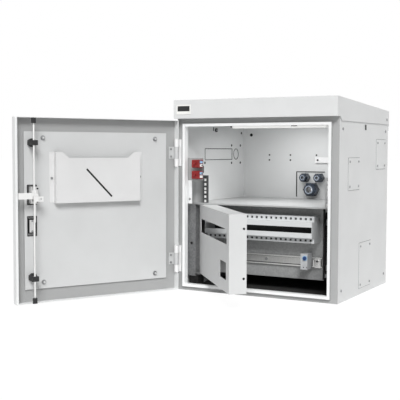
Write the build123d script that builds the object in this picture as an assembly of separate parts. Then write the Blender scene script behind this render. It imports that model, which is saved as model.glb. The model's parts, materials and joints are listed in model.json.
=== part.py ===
from build123d import *
import math
import os

# Roadside utility cabinet with its door and its inner cover standing open.
# Millimetres, +Z up, +Y to the rear. Origin: centre of the underside.

# Body
width = 600.0
depth = 520.0
height = 606.0
sheet = 1.5
half = width / 2
inside = half - sheet
frame_sheet = 2.0
side_flange = 23.0
bottom_flange = 13.5
top_flange = 17.0
rim_width = 10.0
rim_proud = 10.0
rim_return = 12.0
rear_return = 15.0
seat_gap = 0.3
slot_length = 15.0
slot_width = 7.0
side_slot_drop = 29.5
panel_screw_front = 32.0
panel_screw_rear = 31.0
panel_screw_end = 39.0
screw_head_radius = 4.5
screw_head_height = 2.0

# Rain hood
hood_sheet = 1.5
hood_overhang = 26.0
hood_front_height = 65.0
hood_rear_drop = 28.4
hood_side_gap = 1.2
hood_side_lap = 13.0
hood_rear_lap = 36.0
hood_notch_end = 13.8
hood_screw_inset = 25.0

# Rear wall
wall_hole_inset_x = 36.0
wall_hole_low = 45.0
wall_hole_high = height - 48.0
wall_hole_radius = 5.0
stud_hole_radius = 2.6
stud_hole_rows = (458.0, 478.0)
stud_hole_columns = (-183.0, -92.0, 18.0)
tie_bar_left = 15.0
tie_bar_length = 122.0
tie_bar_height = 22.0
tie_bar_bottom = 448.0
tie_bar_thickness = 2.0
tie_bar_standoff = 6.0
gland_window_left = -67.0
gland_window_width = 121.0
gland_window_bottom = 314.0
gland_window_height = 100.0
gland_plate_lap = 12.0
gland_plate_thickness = 2.0
gasket_thickness = 2.0
gasket_show = 3.0
small_gland_bore = 6.5
small_gland_hex = 33.0
small_gland_length = 39.0
large_gland_bore = 12.5
large_gland_hex = 50.0
large_gland_length = 44.0
gland_nut_length = 22.0
gland_nut_flats = 0.55
gland_nut_taper = 0.3
gland_locknut = 6.0
gland_tail = 9.0
gland_row_z = 390.0
gland_low_z = 344.0
small_gland_places = (gland_window_left + 41.0, gland_window_left + gland_window_width - 21.0)
large_gland_place = (small_gland_places[0] + small_gland_places[1]) / 2 - 0.5

# Side walls
left_window_front = depth - 326.0
left_window_rear = depth - 107.0
left_window_low = height - 145.0
left_window_high = height - 105.0
left_hole_y = depth - 72.0
left_hole_z = height - 125.0
left_hole_radius = 20.0
left_fixing_pitch_y = 77.0
left_fixing_pitch_z = 69.0
left_fixing_radius = 3.5
left_single_hole = (depth - 328.0, height - 157.0)
cover_plate_sheet = 1.5
cover_plate_lap = 14.0
cover_screw_inset = 12.0
right_plates = (
    (88.0, 199.0, height - 241.0, height - 134.0),
    (depth - 138.0, depth - 30.0, height - 176.0, height - 70.0),
    (207.0, 330.0, 22.0, 179.0),
)
left_plate = (depth - 348.0, depth - 20.0, height - 174.0, height - 76.0)
clip_y = depth / 2 + 18.0
clip_z = height - 33.0
clip_depth = 5.0
clip_wall = 2.5
clip_mouth = 4.0
clip_radius = 7.0

# Upper compartment
shelf_top = 307.0
shelf_front = 66.0
shelf_lip = 5.0
rail_face = 76.6
rail_sheet = 2.0
rail_inner_x = inside - 74.5
rail_height = 99.0
rail_leg = 20.0
rack_hole_x = rail_inner_x + 8.55
rack_hole_size = 9.5
rack_unit_height = 44.45
rack_hole_steps = (6.35, 22.25, 38.1)
rack_base = shelf_top + 0.5
lamp_right = half - 55.0
lamp_left = lamp_right - 343.0
lamp_front = 26.0
lamp_depth = 26.0
lamp_bottom = height - 34.0
lamp_height = 20.0
lamp_foot = 24.0
rocker_left = lamp_right - 123.0
rocker_width = 21.0
rocker_height = 12.0
rocker_depth = 5.0
rocker_tilt = 8.0
rocker_room = 0.8
rocker_proud = 1.5
plug_length = 11.0
plug_depth = 14.0
plug_height = 12.0
plug_inset = 6.0
plug_lift = 3.0
contact_left = -inside + 62.0
contact_width = 29.0
contact_front = -14.0
contact_low = 396.0
contact_height = 28.0
contact_pitch = 39.0
contact_bracket_front = 15.0
bracket_edge = -inside + 46.5
bracket_margin = 6.0
bracket_leg = 20.0
bracket_hole_in = 37.5
bracket_hole_z = 323.0
bracket_hole_radius = 4.0
button_radius = 3.5
button_proud = 7.9
button_bore = 6.0
button_root = 5.0
lead_radius = 1.1
lead_reach = 14.0

# Lower compartment
board_left = -inside + 28.5
board_right = inside - 102.5
board_front = 150.0
board_thickness = 2.0
board_low = 49.0
board_high = 302.0
board_arm_height = 12.0
board_arm_lap = 20.0
board_arm_foot = 25.0
board_arm_rows = (59.0, 285.0)
carrier_left = board_left + 39.5
carrier_right = board_right - 17.5
carrier_centre_z = 227.0
carrier_half = 46.0
carrier_band = 19.0
carrier_step = 20.0
carrier_slot = 20.0
carrier_lip = 6.0
carrier_front = 74.0
carrier_pitch = 18.4
carrier_hole_end = 10.7
carrier_end_hole = 4.0
carrier_end_hole_back = 10.0
carrier_end_hole_drop = 12.0
carrier_hole = 5.5
din_left = board_left + 14.0
din_right = board_right - 6.0
din_z = 111.0
din_height = 35.0
din_depth = 7.5
din_web = 27.0
din_sheet = 1.0
din_screw_places = (din_left + 34.0, din_left + 234.0)
din_screw_radius = 5.0
din_screw_height = 3.0
control_left = board_right - 67.5
control_width = 25.5
control_front = 100.0
control_low = 89.0
control_height = 54.0
control_terminals = (11.5, 22.0)
control_terminal_rise = 7.5
control_terminal_depth = 6.0
control_terminal_radius = 2.3
dial_radius = 6.5
dial_height = 4.0
dial_drop = 14.7
dial_in = 16.0
dial_ribs = 12
dial_rib_radius = 0.8
nib_half = 1.2
nib_height = 2.0
clamp_gap = 12.0
clamp_width = 21.0
clamp_depth = 22.0
clamp_height = 36.5
clamp_base = 4.0
clamp_web = 4.0
clamp_inset = 6.0
clamp_boss_radius = 4.5
clamp_boss_height = 9.0
clamp_boss_rise = 5.0
mat_thickness = 3.0
mat_margin = 10.0
block_size = (34.0, 46.0, 38.0)
block_gap = 4.0
cover_left = -half + 58.0
cover_width = width - 134.0
cover_front = 51.0
cover_low = 55.0
cover_high = shelf_top - 5.5
cover_flange = 56.0
cover_sheet = 1.5
cover_open = 49.5
cover_hole_radius = 4.0
cover_hole_back = 47.0
cover_hole_rows = (102.0, 256.0)
cover_slot = (27.0, cover_width - 33.5, 205.0, 253.0)
cover_window = (cover_width - 128.0, cover_width - 40.5, 92.5, 147.5)
cover_pivot_in = 7.0
cover_pivot_radius = 2.5
post_front = 58.0
post_hole_z = 161.0
post_hole_in = 22.0
post_width = 37.2
post_flange = 40.0
pin_bite = 8.0
post_hole_radius = 5.0
stop_front = 109.0
stop_gap = 2.5
stop_tab_reach = 21.0
stop_tab_half = 10.0
post_low = 43.0
ear_reach = 6.0
ear_front = 5.0

# Door
door_open = 118.5
door_gap = 2.0
door_thickness = 27.0
door_margin = 1.0
door_low = 3.0
door_high = height - 5.5
door_lip = 8.0
pan_corner = 2.5
hinge_notch = 11.5
hinge_notch_end = 2.0
hinge_in = 2.0
hinge_forward = 14.5
knuckle_radius = 8.0
strap_reach = 12.5
post_web = 6.0
leaf_web_start = 0.5
leaf_web_end = 5.0
pin_radius = 2.5
running_gap = 0.08
hinge_centres = (111.0, height - 119.0)
hinge_length = 94.0
middle_knuckle = 42.0
knuckle_gap = 0.5
leaf_width = 24.0
leaf_screw_rise = 13.0
leaf_screw_in = 7.0
leaf_screw_radius = 3.5
leaf_sheet = 2.0
lining = (-half + 39.8, half - 37.6, 45.5, height - 50.5)
lining_standoff = 3.5
stud_places = ((-half + 85.3, 64.5), (-half + 85.3, height - 71.0), (half - 101.7, 66.5),
               (half - 101.7, height - 71.0))
stud_radius = 3.0
stud_collar = 4.0
stud_reach = 8.0
nut_across = 11.0
nut_height = 5.0
washer_radius = 8.0
washer_height = 1.0
pocket = (-half + 153.6, half - 138.9, height - 283.0, height - 116.5)
pocket_depth = 20.0
pocket_sheet = 1.0
pocket_tab = 16.0
pocket_dip = 19.5
pocket_corner = 23.0
pocket_slope = 23.0
pocket_slot = (pocket[0] + 199.9, pocket[3] - 55.5, pocket[0] + 106.9, pocket[2] + 16.5)
pocket_slot_width = 6.5
pocket_screw_z = pocket[3] - 84.8
pocket_screw_radius = 4.0
pocket_screw_height = 2.5
pocket_screw_hole = 2.2

# Three-point lock and swing handle
lock_x = half - 63.0
lock_z = height - 256.0
lock_turn = 90.0
rod_travel = 20.0
rod_x = lock_x + 7.1
rod_plane = 17.2
rod_radius = 3.0
rod_tip_radius = 1.8
rod_flat = 2.5
tip_size = 14.0
tip_depth = 8.0
tip_height = 17.6
tip_top = height - 8.0
tip_low = 6.0
guide_rows = (85.0, height - 87.0)
guide_disc_radius = 14.0
guide_disc_height = 9.0
guide_reach = 5.5
guide_block_left = lock_x - 5.0
guide_block_right = lock_x + 13.6
guide_block_height = 16.0
case_width = 26.0
case_height = 54.0
case_rear = 6.0
cam_thickness = 3.0
cam_gap = 0.5
tongue_reach = 58.0
tongue_width = 20.0
cam_pin_radius = 2.4
cam_bar_radius = 4.4
cam_hub_radius = 8.0
yoke_slack = 0.8
yoke_wall = 5.0
yoke_web = 6.0
rod_margin = 2.0
tip_cap = 2.0
thin_rise = 5.0
flat_lap = 4.0
closing_edge = lock_x + 14.8
cut_width = 28.0
cut_height = 62.0
cut_rows = (lock_z + 2.0, lock_z - 99.0)
cut_margin = 7.0
dish_width = 34.0
dish_low = lock_z - 150.0
dish_high = lock_z + 42.0
dish_thickness = 8.0
spindle_radius = 5.0
head_radius = 14.0
ear_gap = 13.4
ear_width = 3.0
grip_low = lock_z - 138.0
grip_width = 22.0
grip_thickness = 12.0
grip_gap = 5.0
grip_neck = 20.0
grip_start = 16.0
grip_corner = 7.0
grip_edge = 3.0
eye_radius = 6.5
lift_pin_radius = 3.0

front = -depth / 2
pin_circle = rod_travel / 2 * math.sqrt(2)
hinge_x = -half + hinge_in
hinge_y = front - hinge_forward
skin_back = front - door_gap - door_thickness + sheet
lining_face = skin_back + lining_standoff + sheet
lock_plane = front + rod_plane


def block(x0, x1, y0, y1, z0, z1):
    """Plain block between two corners."""
    solid = Box(x1 - x0, y1 - y0, z1 - z0)
    return Pos((x0 + x1) / 2, (y0 + y1) / 2, (z0 + z1) / 2) * solid


def along_z(x, y, z0, z1, radius):
    """Round bar along Z."""
    return Pos(x, y, (z0 + z1) / 2) * Cylinder(radius, z1 - z0)


def along_y(x, z, y0, y1, radius):
    """Round bar along Y."""
    return Pos(x, (y0 + y1) / 2, z) * Rot(90, 0, 0) * Cylinder(radius, y1 - y0)


def along_x(y, z, x0, x1, radius):
    """Round bar along X."""
    return Pos((x0 + x1) / 2, y, z) * Rot(0, 90, 0) * Cylinder(radius, x1 - x0)


def hexagon(x, z, y0, y1, across):
    """Hexagonal bar along Y."""
    outline = RegularPolygon(across / 2, 6, major_radius=False)
    return Pos(x, y1, z) * Rot(90, 0, 0) * extrude(outline, y1 - y0)


def section_along_x(points, x0, x1):
    """Closed outline of (y, z) points, drawn out along X."""
    face = make_face(Polyline([(0, y, z) for y, z in points], close=True))
    return Pos(x0, 0, 0) * extrude(face, x1 - x0, dir=(1, 0, 0))


def swung(shape):
    """Turn a piece of the closed door to where the open door stands."""
    return shape.rotate(Axis((hinge_x, hinge_y, 0), (0, 0, 1)), -door_open)


def cover_swung(shape):
    """Turn a piece of the closed inner cover to where it stands open."""
    pivot = (cover_left + cover_pivot_in, front + cover_front + cover_pivot_in, 0)
    return shape.rotate(Axis(pivot, (0, 0, 1)), -cover_open)


def save(node, *shapes):
    """Write one node, which may be a group of separate solids."""
    solids = [solid for shape in shapes for solid in shape.solids()]
    whole = solids[0] if len(solids) == 1 else Compound(children=solids)
    export_step(whole, f"parts/{node}.step")


# Body shell

def front_frame():
    """Flange round the mouth with the raised hollow rim folded from it."""
    x_rim = half - side_flange
    z_low = bottom_flange
    z_high = height - top_flange
    back = front + rim_return
    proud = front - rim_proud
    x_in = x_rim - rim_width
    flange = block(-half, half, front, front + frame_sheet, 0, height)
    flange -= block(-x_rim, x_rim, front, front + frame_sheet, z_low, z_high)
    rim = block(-x_rim, x_rim, proud, back, z_low, z_high)
    rim -= block(-x_in, x_in, proud, back, z_low + rim_width, z_high - rim_width)
    outer = block(-x_rim + sheet, x_rim - sheet, proud + sheet, back, z_low + sheet, z_high - sheet)
    inner_low = z_low + rim_width - sheet
    inner_high = z_high - rim_width + sheet
    outer -= block(-x_in - sheet, x_in + sheet, proud, back, inner_low, inner_high)
    rim -= outer
    trim = block(-x_rim, x_rim, front + frame_sheet, back, z_low, z_high)
    trim -= block(-x_rim + sheet, x_rim - sheet, front, back, z_low + sheet, z_high - sheet)
    return flange + (rim - trim)


def side_panel(side):
    """Side wall with its rear return, its screw holes and its lifting slot."""
    y0 = front + frame_sheet
    y1 = -front
    x0, x1 = sorted((side * inside, side * half))
    wall = block(x0, x1, y0, y1, 0, height)
    x_in, x_out = sorted((side * (inside - rear_return), side * inside))
    y_lip = y1 - sheet
    wall += block(x_in, x_out, y_lip - sheet, y_lip, sheet, height - sheet)
    y_slot = front + depth / 2
    z_slot = height - side_slot_drop
    wall -= block(x0, x1, y_slot - slot_width / 2, y_slot + slot_width / 2,
                  z_slot - slot_length / 2, z_slot + slot_length / 2)
    return wall


def right_panel():
    """Right wall with a cable opening behind each cover plate."""
    wall = side_panel(1)
    for y0, y1, z0, z1 in right_plates:
        lap = cover_plate_lap
        wall -= block(inside, half, front + y0 + lap, front + y1 - lap, z0 + lap, z1 - lap)
    return wall


def left_panel():
    """Left wall with the long window, the round hole and its four fixings."""
    wall = side_panel(-1)
    wall -= block(-half, -inside, front + left_window_front, front + left_window_rear,
                  left_window_low, left_window_high)
    hole_y = front + left_hole_y
    wall -= along_x(hole_y, left_hole_z, -half, -inside, left_hole_radius)
    for dy in (-left_fixing_pitch_y / 2, left_fixing_pitch_y / 2):
        for dz in (-left_fixing_pitch_z / 2, left_fixing_pitch_z / 2):
            wall -= along_x(hole_y + dy, left_hole_z + dz, -half, -inside, left_fixing_radius)
    single_y, single_z = left_single_hole
    wall -= along_x(front + single_y, single_z, -half, -inside, left_fixing_radius)
    return wall


def rear_panel():
    """Rear wall with wall-fixing holes, equipment holes and the gland window."""
    y0 = -front - sheet
    y1 = -front
    wall = block(-inside, inside, y0, y1, 0, height)
    for side in (-1, 1):
        for z in (wall_hole_low, wall_hole_high):
            wall -= along_y(side * (half - wall_hole_inset_x), z, y0, y1, wall_hole_radius)
    for x in stud_hole_columns:
        for z in stud_hole_rows:
            wall -= along_y(x, z, y0, y1, stud_hole_radius)
    x0 = gland_window_left
    z0 = gland_window_bottom
    wall -= block(x0, x0 + gland_window_width, y0, y1, z0, z0 + gland_window_height)
    return wall


def floor_panel():
    return block(-inside, inside, front + frame_sheet, -front - sheet, 0, sheet)


def roof_panel():
    return block(-inside, inside, front + frame_sheet, -front - sheet, height - sheet, height)


def rain_hood():
    """Folded hood: sloping top, deep front edge, side skirts, rear skirt."""
    x_out = half + hood_side_gap + hood_sheet
    y_front = front - hood_overhang
    y_rear = -front + seat_gap + hood_sheet
    z_lip = height + seat_gap
    z_top = height + hood_front_height
    z_rear = z_top - hood_rear_drop
    z_side = height - hood_side_lap
    notch = front + hood_notch_end
    lip_end = notch - hood_side_lap
    slope = [(y_front, z_lip), (y_front, z_top), (y_rear, z_rear), (y_rear, z_side),
             (notch, z_side), (lip_end, z_lip)]
    hood = section_along_x(slope, -x_out, x_out)
    fall = hood_rear_drop / (y_rear - y_front)
    under = z_top - hood_sheet
    hollow = [(y_front + hood_sheet, z_lip + hood_sheet), (y_front + hood_sheet, under),
              (y_rear - hood_sheet, under - fall * (y_rear - y_front)),
              (y_rear - hood_sheet, z_side - hood_sheet), (lip_end, z_side - hood_sheet),
              (lip_end, z_lip + hood_sheet)]
    hood -= section_along_x(hollow, -x_out + hood_sheet, x_out - hood_sheet)
    skirt = block(-x_out, x_out, y_rear - hood_sheet, y_rear, height - hood_rear_lap, z_side)
    return hood + skirt


def panel_screws():
    """Screw heads on both side walls, the hood's skirts and the cover plates."""
    heads = []
    for side in (-1, 1):
        for y in (front + panel_screw_front, -front - panel_screw_rear):
            for z in (panel_screw_end, height - panel_screw_end):
                x0, x1 = sorted((side * half, side * (half + screw_head_height)))
                heads.append(along_x(y, z, x0, x1, screw_head_radius))
        skirt = half + hood_side_gap + hood_sheet
        x0, x1 = sorted((side * skirt, side * (skirt + screw_head_height)))
        z_skirt = height + seat_gap + screw_head_radius
        heads.append(along_x(-front - hood_screw_inset, z_skirt, x0, x1, screw_head_radius))
    return heads


def plate_screws(side, bounds):
    """Four screw heads on a side cover plate."""
    y0, y1, z0, z1 = bounds
    face = half + cover_plate_sheet
    x0, x1 = sorted((side * face, side * (face + screw_head_height)))
    inset = cover_screw_inset
    return [along_x(front + y, z, x0, x1, screw_head_radius * 0.8)
            for y in (y0 + inset, y1 - inset) for z in (z0 + inset, z1 - inset)]


def side_cover(side, bounds):
    y0, y1, z0, z1 = bounds
    x0, x1 = sorted((side * half, side * (half + cover_plate_sheet)))
    return block(x0, x1, front + y0, front + y1, z0, z1)


# Rear wall equipment

def gland_gasket():
    """Rubber frame behind the window; it shows at the top and the left."""
    x0 = gland_window_left
    z0 = gland_window_bottom
    x1 = x0 + gland_window_width
    z1 = z0 + gland_window_height
    lap = gland_plate_lap
    y0 = -front
    frame = block(x0 - lap, x1 + lap, y0, y0 + gasket_thickness, z0 - lap, z1 + lap)
    return frame - block(x0 + gasket_show, x1, y0, y0 + gasket_thickness, z0, z1 - gasket_show)


def gland_places():
    small = [(x, gland_row_z, small_gland_bore, small_gland_hex, small_gland_length)
             for x in small_gland_places]
    return small + [(large_gland_place, gland_low_z, large_gland_bore, large_gland_hex,
                     large_gland_length)]


def gland_plate():
    """Plate that carries the three cable glands."""
    x0 = gland_window_left - gland_plate_lap
    x1 = gland_window_left + gland_window_width + gland_plate_lap
    z0 = gland_window_bottom - gland_plate_lap
    z1 = gland_window_bottom + gland_window_height + gland_plate_lap
    y0 = -front + gasket_thickness
    plate = block(x0, x1, y0, y0 + gland_plate_thickness, z0, z1)
    for x, z, bore, across, length in gland_places():
        plate -= along_y(x, z, y0, y0 + gland_plate_thickness, thread_radius(across))
    return plate


def thread_radius(across):
    return across * 0.37


def gland_body(x, z, bore, across, length):
    """Hexagon base with its bore and the threaded tail through the plate."""
    plate_face = -front + gasket_thickness
    y0 = plate_face - length + gland_nut_length
    tail = plate_face + gland_plate_thickness + gland_tail
    body = hexagon(x, z, y0, plate_face, across)
    body += along_y(x, z, plate_face, tail, thread_radius(across) - seat_gap)
    body -= along_y(x, z, y0, tail, bore)
    return body


def gland_cap(x, z, bore, across, length):
    """Domed clamping nut of a gland, open at its nose."""
    y1 = -front + gasket_thickness - length + gland_nut_length
    y0 = y1 - gland_nut_length
    dome_end = gland_nut_length * (1 - gland_nut_flats)
    nose = across / 2 - seat_gap
    cap = hexagon(x, z, y0 + dome_end, y1, across - 2 * seat_gap)
    profile = make_face(Polyline([(bore, 0), (nose * 0.8, 0), (nose, gland_nut_length * gland_nut_taper),
                                  (nose, dome_end), (bore, dome_end)], close=True))
    cap += Pos(x, y0, z) * revolve(profile, Axis.Y)
    return cap - along_y(x, z, y0, y1, bore)


def gland_locknuts():
    """Locknuts behind the plate, one for each gland."""
    y0 = -front + gasket_thickness + gland_plate_thickness
    nuts = []
    for x, z, bore, across, length in gland_places():
        nut = hexagon(x, z, y0, y0 + gland_locknut, across)
        nuts.append(nut - along_y(x, z, y0, y0 + gland_locknut, thread_radius(across)))
    return nuts


def tie_bar():
    """Cable tie strip on two feet, on the rear wall."""
    y1 = -front - sheet
    y0 = y1 - tie_bar_standoff - tie_bar_thickness
    x1 = tie_bar_left + tie_bar_length
    z1 = tie_bar_bottom + tie_bar_height
    bar = block(tie_bar_left, x1, y0, y0 + tie_bar_thickness, tie_bar_bottom, z1)
    z = (tie_bar_bottom + z1) / 2
    for x in (tie_bar_left + tie_bar_height / 2, x1 - tie_bar_height / 2):
        bar += along_y(x, z, y0, y1, tie_bar_standoff)
        bar -= along_y(x, z, y0, y1, stud_hole_radius)
    return bar


# Upper compartment

def shelf():
    """Full-width shelf with a turned-down front lip."""
    x = inside - seat_gap
    y0 = front + shelf_front
    y1 = -front - sheet - sheet - seat_gap
    plate = block(-x, x, y0, y1, shelf_top - sheet, shelf_top)
    return plate + block(-x, x, y0, y0 + sheet, shelf_top - shelf_lip, shelf_top)


def rack_rail(side):
    """Rack rail of two units with square holes, on the side wall."""
    y0 = front + rail_face
    z0 = shelf_top + seat_gap
    z1 = z0 + rail_height
    wall = inside - seat_gap
    x0, x1 = sorted((side * rail_inner_x, side * wall))
    rail = block(x0, x1, y0, y0 + rail_sheet, z0, z1)
    x0, x1 = sorted((side * (wall - rail_sheet), side * wall))
    rail += block(x0, x1, y0, y0 + rail_leg, z0, z1)
    x0, x1 = sorted((side * rail_inner_x, side * (rail_inner_x + rail_sheet)))
    rail += block(x0, x1, y0, y0 + rail_leg / 2, z0, z1)
    hole = rack_hole_size / 2
    for unit in range(2):
        for step in rack_hole_steps:
            z = rack_base + unit * rack_unit_height + step
            x = side * rack_hole_x
            rail -= block(x - hole, x + hole, y0, y0 + rail_sheet, z - hole, z + hole)
    return rail


def lamp_bar():
    """Lamp housing under the roof, with a rocker recess in its front."""
    y0 = front + lamp_front
    y1 = y0 + lamp_depth
    z1 = lamp_bottom + lamp_height
    body = block(lamp_left, lamp_right, y0, y1, lamp_bottom, z1)
    body = fillet(body.edges().filter_by(Axis.X).group_by(Axis.Z)[0], lamp_height / 4)
    for x in (lamp_left + lamp_foot, lamp_right - lamp_foot):
        body += block(x - lamp_foot / 2, x + lamp_foot / 2, y0 + sheet, y1 - sheet, z1, height - sheet)
    x0 = rocker_left - seat_gap
    z = rocker_z()
    reach = rocker_height / 2 + rocker_room
    return body - block(x0, x0 + rocker_width + 2 * seat_gap, y0, y0 + rocker_depth + 2,
                        z - reach, z + reach)


def rocker_z():
    return lamp_bottom + lamp_height / 2


def lamp_rocker():
    """Rocker of the lamp switch: a shallow V on its hidden axle."""
    y0 = front + lamp_front
    z = rocker_z()
    reach = rocker_height / 2 - seat_gap
    tip = y0 - rocker_proud
    outline = [(y0 + rocker_depth, z - reach / 2), (tip, z - reach), (y0 + seat_gap, z), (tip, z + reach),
               (y0 + rocker_depth, z + reach / 2)]
    rocker = section_along_x(outline, rocker_left, rocker_left + rocker_width)
    axle = Axis((0, y0 + rocker_depth / 2, z), (1, 0, 0))
    return rocker.rotate(axle, -rocker_tilt)


def lamp_plug():
    """Black supply plug at the lamp's left end."""
    y0 = front + lamp_front + plug_inset
    z0 = lamp_bottom + plug_lift
    return block(lamp_left - plug_length, lamp_left, y0, y0 + plug_depth, z0, z0 + plug_height)


def contact_bracket():
    """Upright strip beside the mouth that carries the two door contacts."""
    y0 = front + contact_bracket_front
    z0 = shelf_top + seat_gap
    z_step = contact_low - bracket_margin
    z1 = contact_row(1) + contact_height + bracket_margin
    wall = -inside + seat_gap
    strip = block(wall, contact_left + contact_width, y0, y0 + sheet, z_step, z1)
    strip += block(wall, bracket_edge, y0, y0 + sheet, z0, z_step)
    strip += block(wall, wall + sheet, y0, y0 + bracket_leg, z0, z1)
    x = -inside + bracket_hole_in
    return strip - along_y(x, bracket_hole_z, y0, y0 + sheet, bracket_hole_radius)


def contact_row(index):
    return contact_low + index * contact_pitch


def door_contact(index):
    """Red contact block with a bore for its button."""
    z0 = contact_row(index)
    y0 = front + contact_front
    x1 = contact_left + contact_width
    y1 = front + contact_bracket_front
    body = block(contact_left, x1, y0, y1, z0, z0 + contact_height)
    body = chamfer(body.edges().filter_by(Axis.X).group_by(Axis.Y)[0], 2)
    x = contact_left + contact_width / 2
    z = z0 + contact_height / 2
    return body - along_y(x, z, y0, y0 + button_proud + button_bore, button_radius + running_gap)


def contact_button(index):
    """Sprung button of a door contact."""
    x = contact_left + contact_width / 2
    z = contact_row(index) + contact_height / 2
    y0 = front + contact_front
    button = along_y(x, z, y0 - button_proud, y0 + button_root, button_radius)
    return fillet(button.edges().group_by(Axis.Y)[0], 1)


def contact_lead(lane):
    """Jumper lead from the upper contact round to the lower one."""
    x = contact_left + contact_width
    y = front + contact_front + 8 + lane * 8
    z0 = contact_row(0) + contact_height * 0.7
    z1 = contact_row(1) + contact_height * 0.3
    out = x + lead_reach - lane * 4
    points = [(x, y, z0), (out, y, z0), (out, y, z1), (x, y, z1)]
    path = FilletPolyline(*points, radius=lead_reach * 0.45)
    start = Plane(origin=(x, y, z0), z_dir=(1, 0, 0))
    return sweep(start * Circle(lead_radius), path=path)


def cable_clip():
    """Open black clip on the left wall under the roof."""
    y = front + clip_y
    x1 = -inside + clip_depth
    ring = along_x(y, clip_z, -inside, x1, clip_radius)
    ring -= along_x(y, clip_z, -inside, x1, clip_radius - clip_wall)
    return ring - block(-inside, x1, y, y + clip_radius, clip_z - clip_mouth / 2, clip_z + clip_mouth / 2)


# Lower compartment

def mounting_board():
    y0 = front + board_front
    return block(board_left, board_right, y0, y0 + board_thickness, board_low, board_high)


def board_arms():
    """Four arms that carry the board from the side walls."""
    y0 = front + board_front + board_thickness
    wall = inside - seat_gap
    arms = []
    for z0 in board_arm_rows:
        z1 = z0 + board_arm_height
        for x_wall, x_end in ((-wall, board_left + board_arm_lap), (wall, board_right - board_arm_lap)):
            x0, x1 = sorted((x_wall, x_end))
            arm = block(x0, x1, y0, y0 + sheet, z0, z1)
            foot = x_wall + math.copysign(sheet, -x_wall)
            x0, x1 = sorted((x_wall, foot))
            arms.append(arm + block(x0, x1, y0, y0 + board_arm_foot, z0, z1))
    return arms


def carrier_outline(inset):
    """Half of the carrier's section, from the board to the slot's lip."""
    back = front + board_front
    lead = front + carrier_front
    step = lead + carrier_step
    top = carrier_half - inset
    shoulder = carrier_half - carrier_band - inset
    lip = carrier_slot / 2
    return [(back, top), (step + inset, top), (step + inset, shoulder), (lead + inset, shoulder),
            (lead + inset, lip)]


def device_carrier():
    """Folded carrier with perforated bands above and below its long slot."""
    lip = carrier_slot / 2
    inner = front + carrier_front + carrier_lip
    half_section = carrier_outline(0) + [(inner, lip), (inner, lip + sheet)]
    folded = carrier_outline(sheet)[::-1]
    half_section += [(folded[0][0], lip + sheet)] + folded[1:]
    upper = section_along_x([(y, carrier_centre_z + z) for y, z in half_section],
                            carrier_left, carrier_right)
    lower = section_along_x([(y, carrier_centre_z - z) for y, z in half_section],
                            carrier_left, carrier_right)
    y_band = front + carrier_front + carrier_step
    y_top = (y_band + front + board_front) / 2
    count = int((carrier_right - carrier_left - carrier_hole_end) // carrier_pitch) + 1
    size = carrier_hole / 2
    holes = []
    for index in range(count):
        x = carrier_right - carrier_hole_end - index * carrier_pitch
        for sign in (-1, 1):
            z = carrier_centre_z + sign * (carrier_half - carrier_band / 2)
            holes.append(block(x - size, x + size, y_band, y_band + sheet, z - size, z + size))
            z0, z1 = sorted((carrier_centre_z + sign * (carrier_half - sheet),
                             carrier_centre_z + sign * carrier_half))
            holes.append(block(x - size, x + size, y_top - size, y_top + size, z0, z1))
    return [(upper + lower) - holes]


def carrier_end(side):
    """End plate that closes the carrier and fixes it to the board."""
    x0 = carrier_right if side > 0 else carrier_left - sheet
    outline = [(y, carrier_centre_z + z) for y, z in carrier_outline(0)]
    outline += [(y, carrier_centre_z - z) for y, z in carrier_outline(0)[::-1]]
    plate = section_along_x(outline, x0, x0 + sheet)
    y = front + board_front - carrier_end_hole_back
    for z in (-carrier_end_hole_drop, carrier_end_hole_drop):
        plate -= along_x(y, carrier_centre_z + z, x0, x0 + sheet, carrier_end_hole / 2)
    return plate


def din_rail():
    """Top-hat rail on the board."""
    back = front + board_front
    face = back - din_depth
    rise = din_height / 2
    web = din_web / 2
    outline = [(face, rise), (face, web - din_sheet), (back - din_sheet, web - din_sheet),
               (back - din_sheet, -web + din_sheet), (face, -web + din_sheet), (face, -rise),
               (face + din_sheet, -rise), (face + din_sheet, -web), (back, -web), (back, web),
               (face + din_sheet, web), (face + din_sheet, rise)]
    return section_along_x([(y, din_z + z) for y, z in outline], din_left, din_right)


def din_screws():
    """Pan-head screws that hold the rail."""
    y1 = front + board_front - din_sheet
    return [along_y(x, din_z, y1 - din_screw_height, y1, din_screw_radius) for x in din_screw_places]


def temperature_control():
    """Small temperature control clipped over the rail."""
    y0 = front + control_front
    y1 = front + board_front - din_depth
    x1 = control_left + control_width
    z1 = control_low + control_height
    body = block(control_left, x1, y0, y1 - seat_gap, control_low, z1)
    body = fillet(body.edges().filter_by(Axis.Z).group_by(Axis.Y)[0], control_terminal_radius / 2)
    z = control_low + control_terminal_rise
    for step in control_terminals:
        body -= along_y(control_left + step, z, y0, y0 + control_terminal_depth, control_terminal_radius)
    return body


def control_dial():
    """Ribbed setting dial with a pointer nib."""
    x = control_left + dial_in
    z = control_low + control_height - dial_drop
    y1 = front + control_front - seat_gap
    y0 = y1 - dial_height
    dial = along_y(x, z, y0, y1, dial_radius)
    for index in range(dial_ribs):
        angle = math.radians(index * 360 / dial_ribs)
        rib_x = x + dial_radius * math.cos(angle)
        rib_z = z + dial_radius * math.sin(angle)
        dial -= along_y(rib_x, rib_z, y0, y1, dial_rib_radius)
    return dial + block(x - nib_half, x + nib_half, y0 - nib_height, y0, z - nib_half,
                        z + dial_radius - dial_rib_radius)


def end_clamp():
    """Clamp on the rail beside the temperature control, with its screw boss."""
    x0 = control_left + control_width + clamp_gap
    y1 = front + board_front - din_depth - seat_gap
    z0 = din_z - clamp_height / 2
    z1 = z0 + clamp_height
    body = block(x0, x0 + clamp_width, y1 - clamp_base, y1, z0, z1)
    body += block(x0, x0 + clamp_web, y1 - clamp_depth, y1, z0 + clamp_inset, z1 - clamp_inset)
    x = x0 + clamp_width / 2
    return body + along_y(x, din_z + clamp_boss_rise, y1 - clamp_boss_height, y1, clamp_boss_radius)


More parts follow.
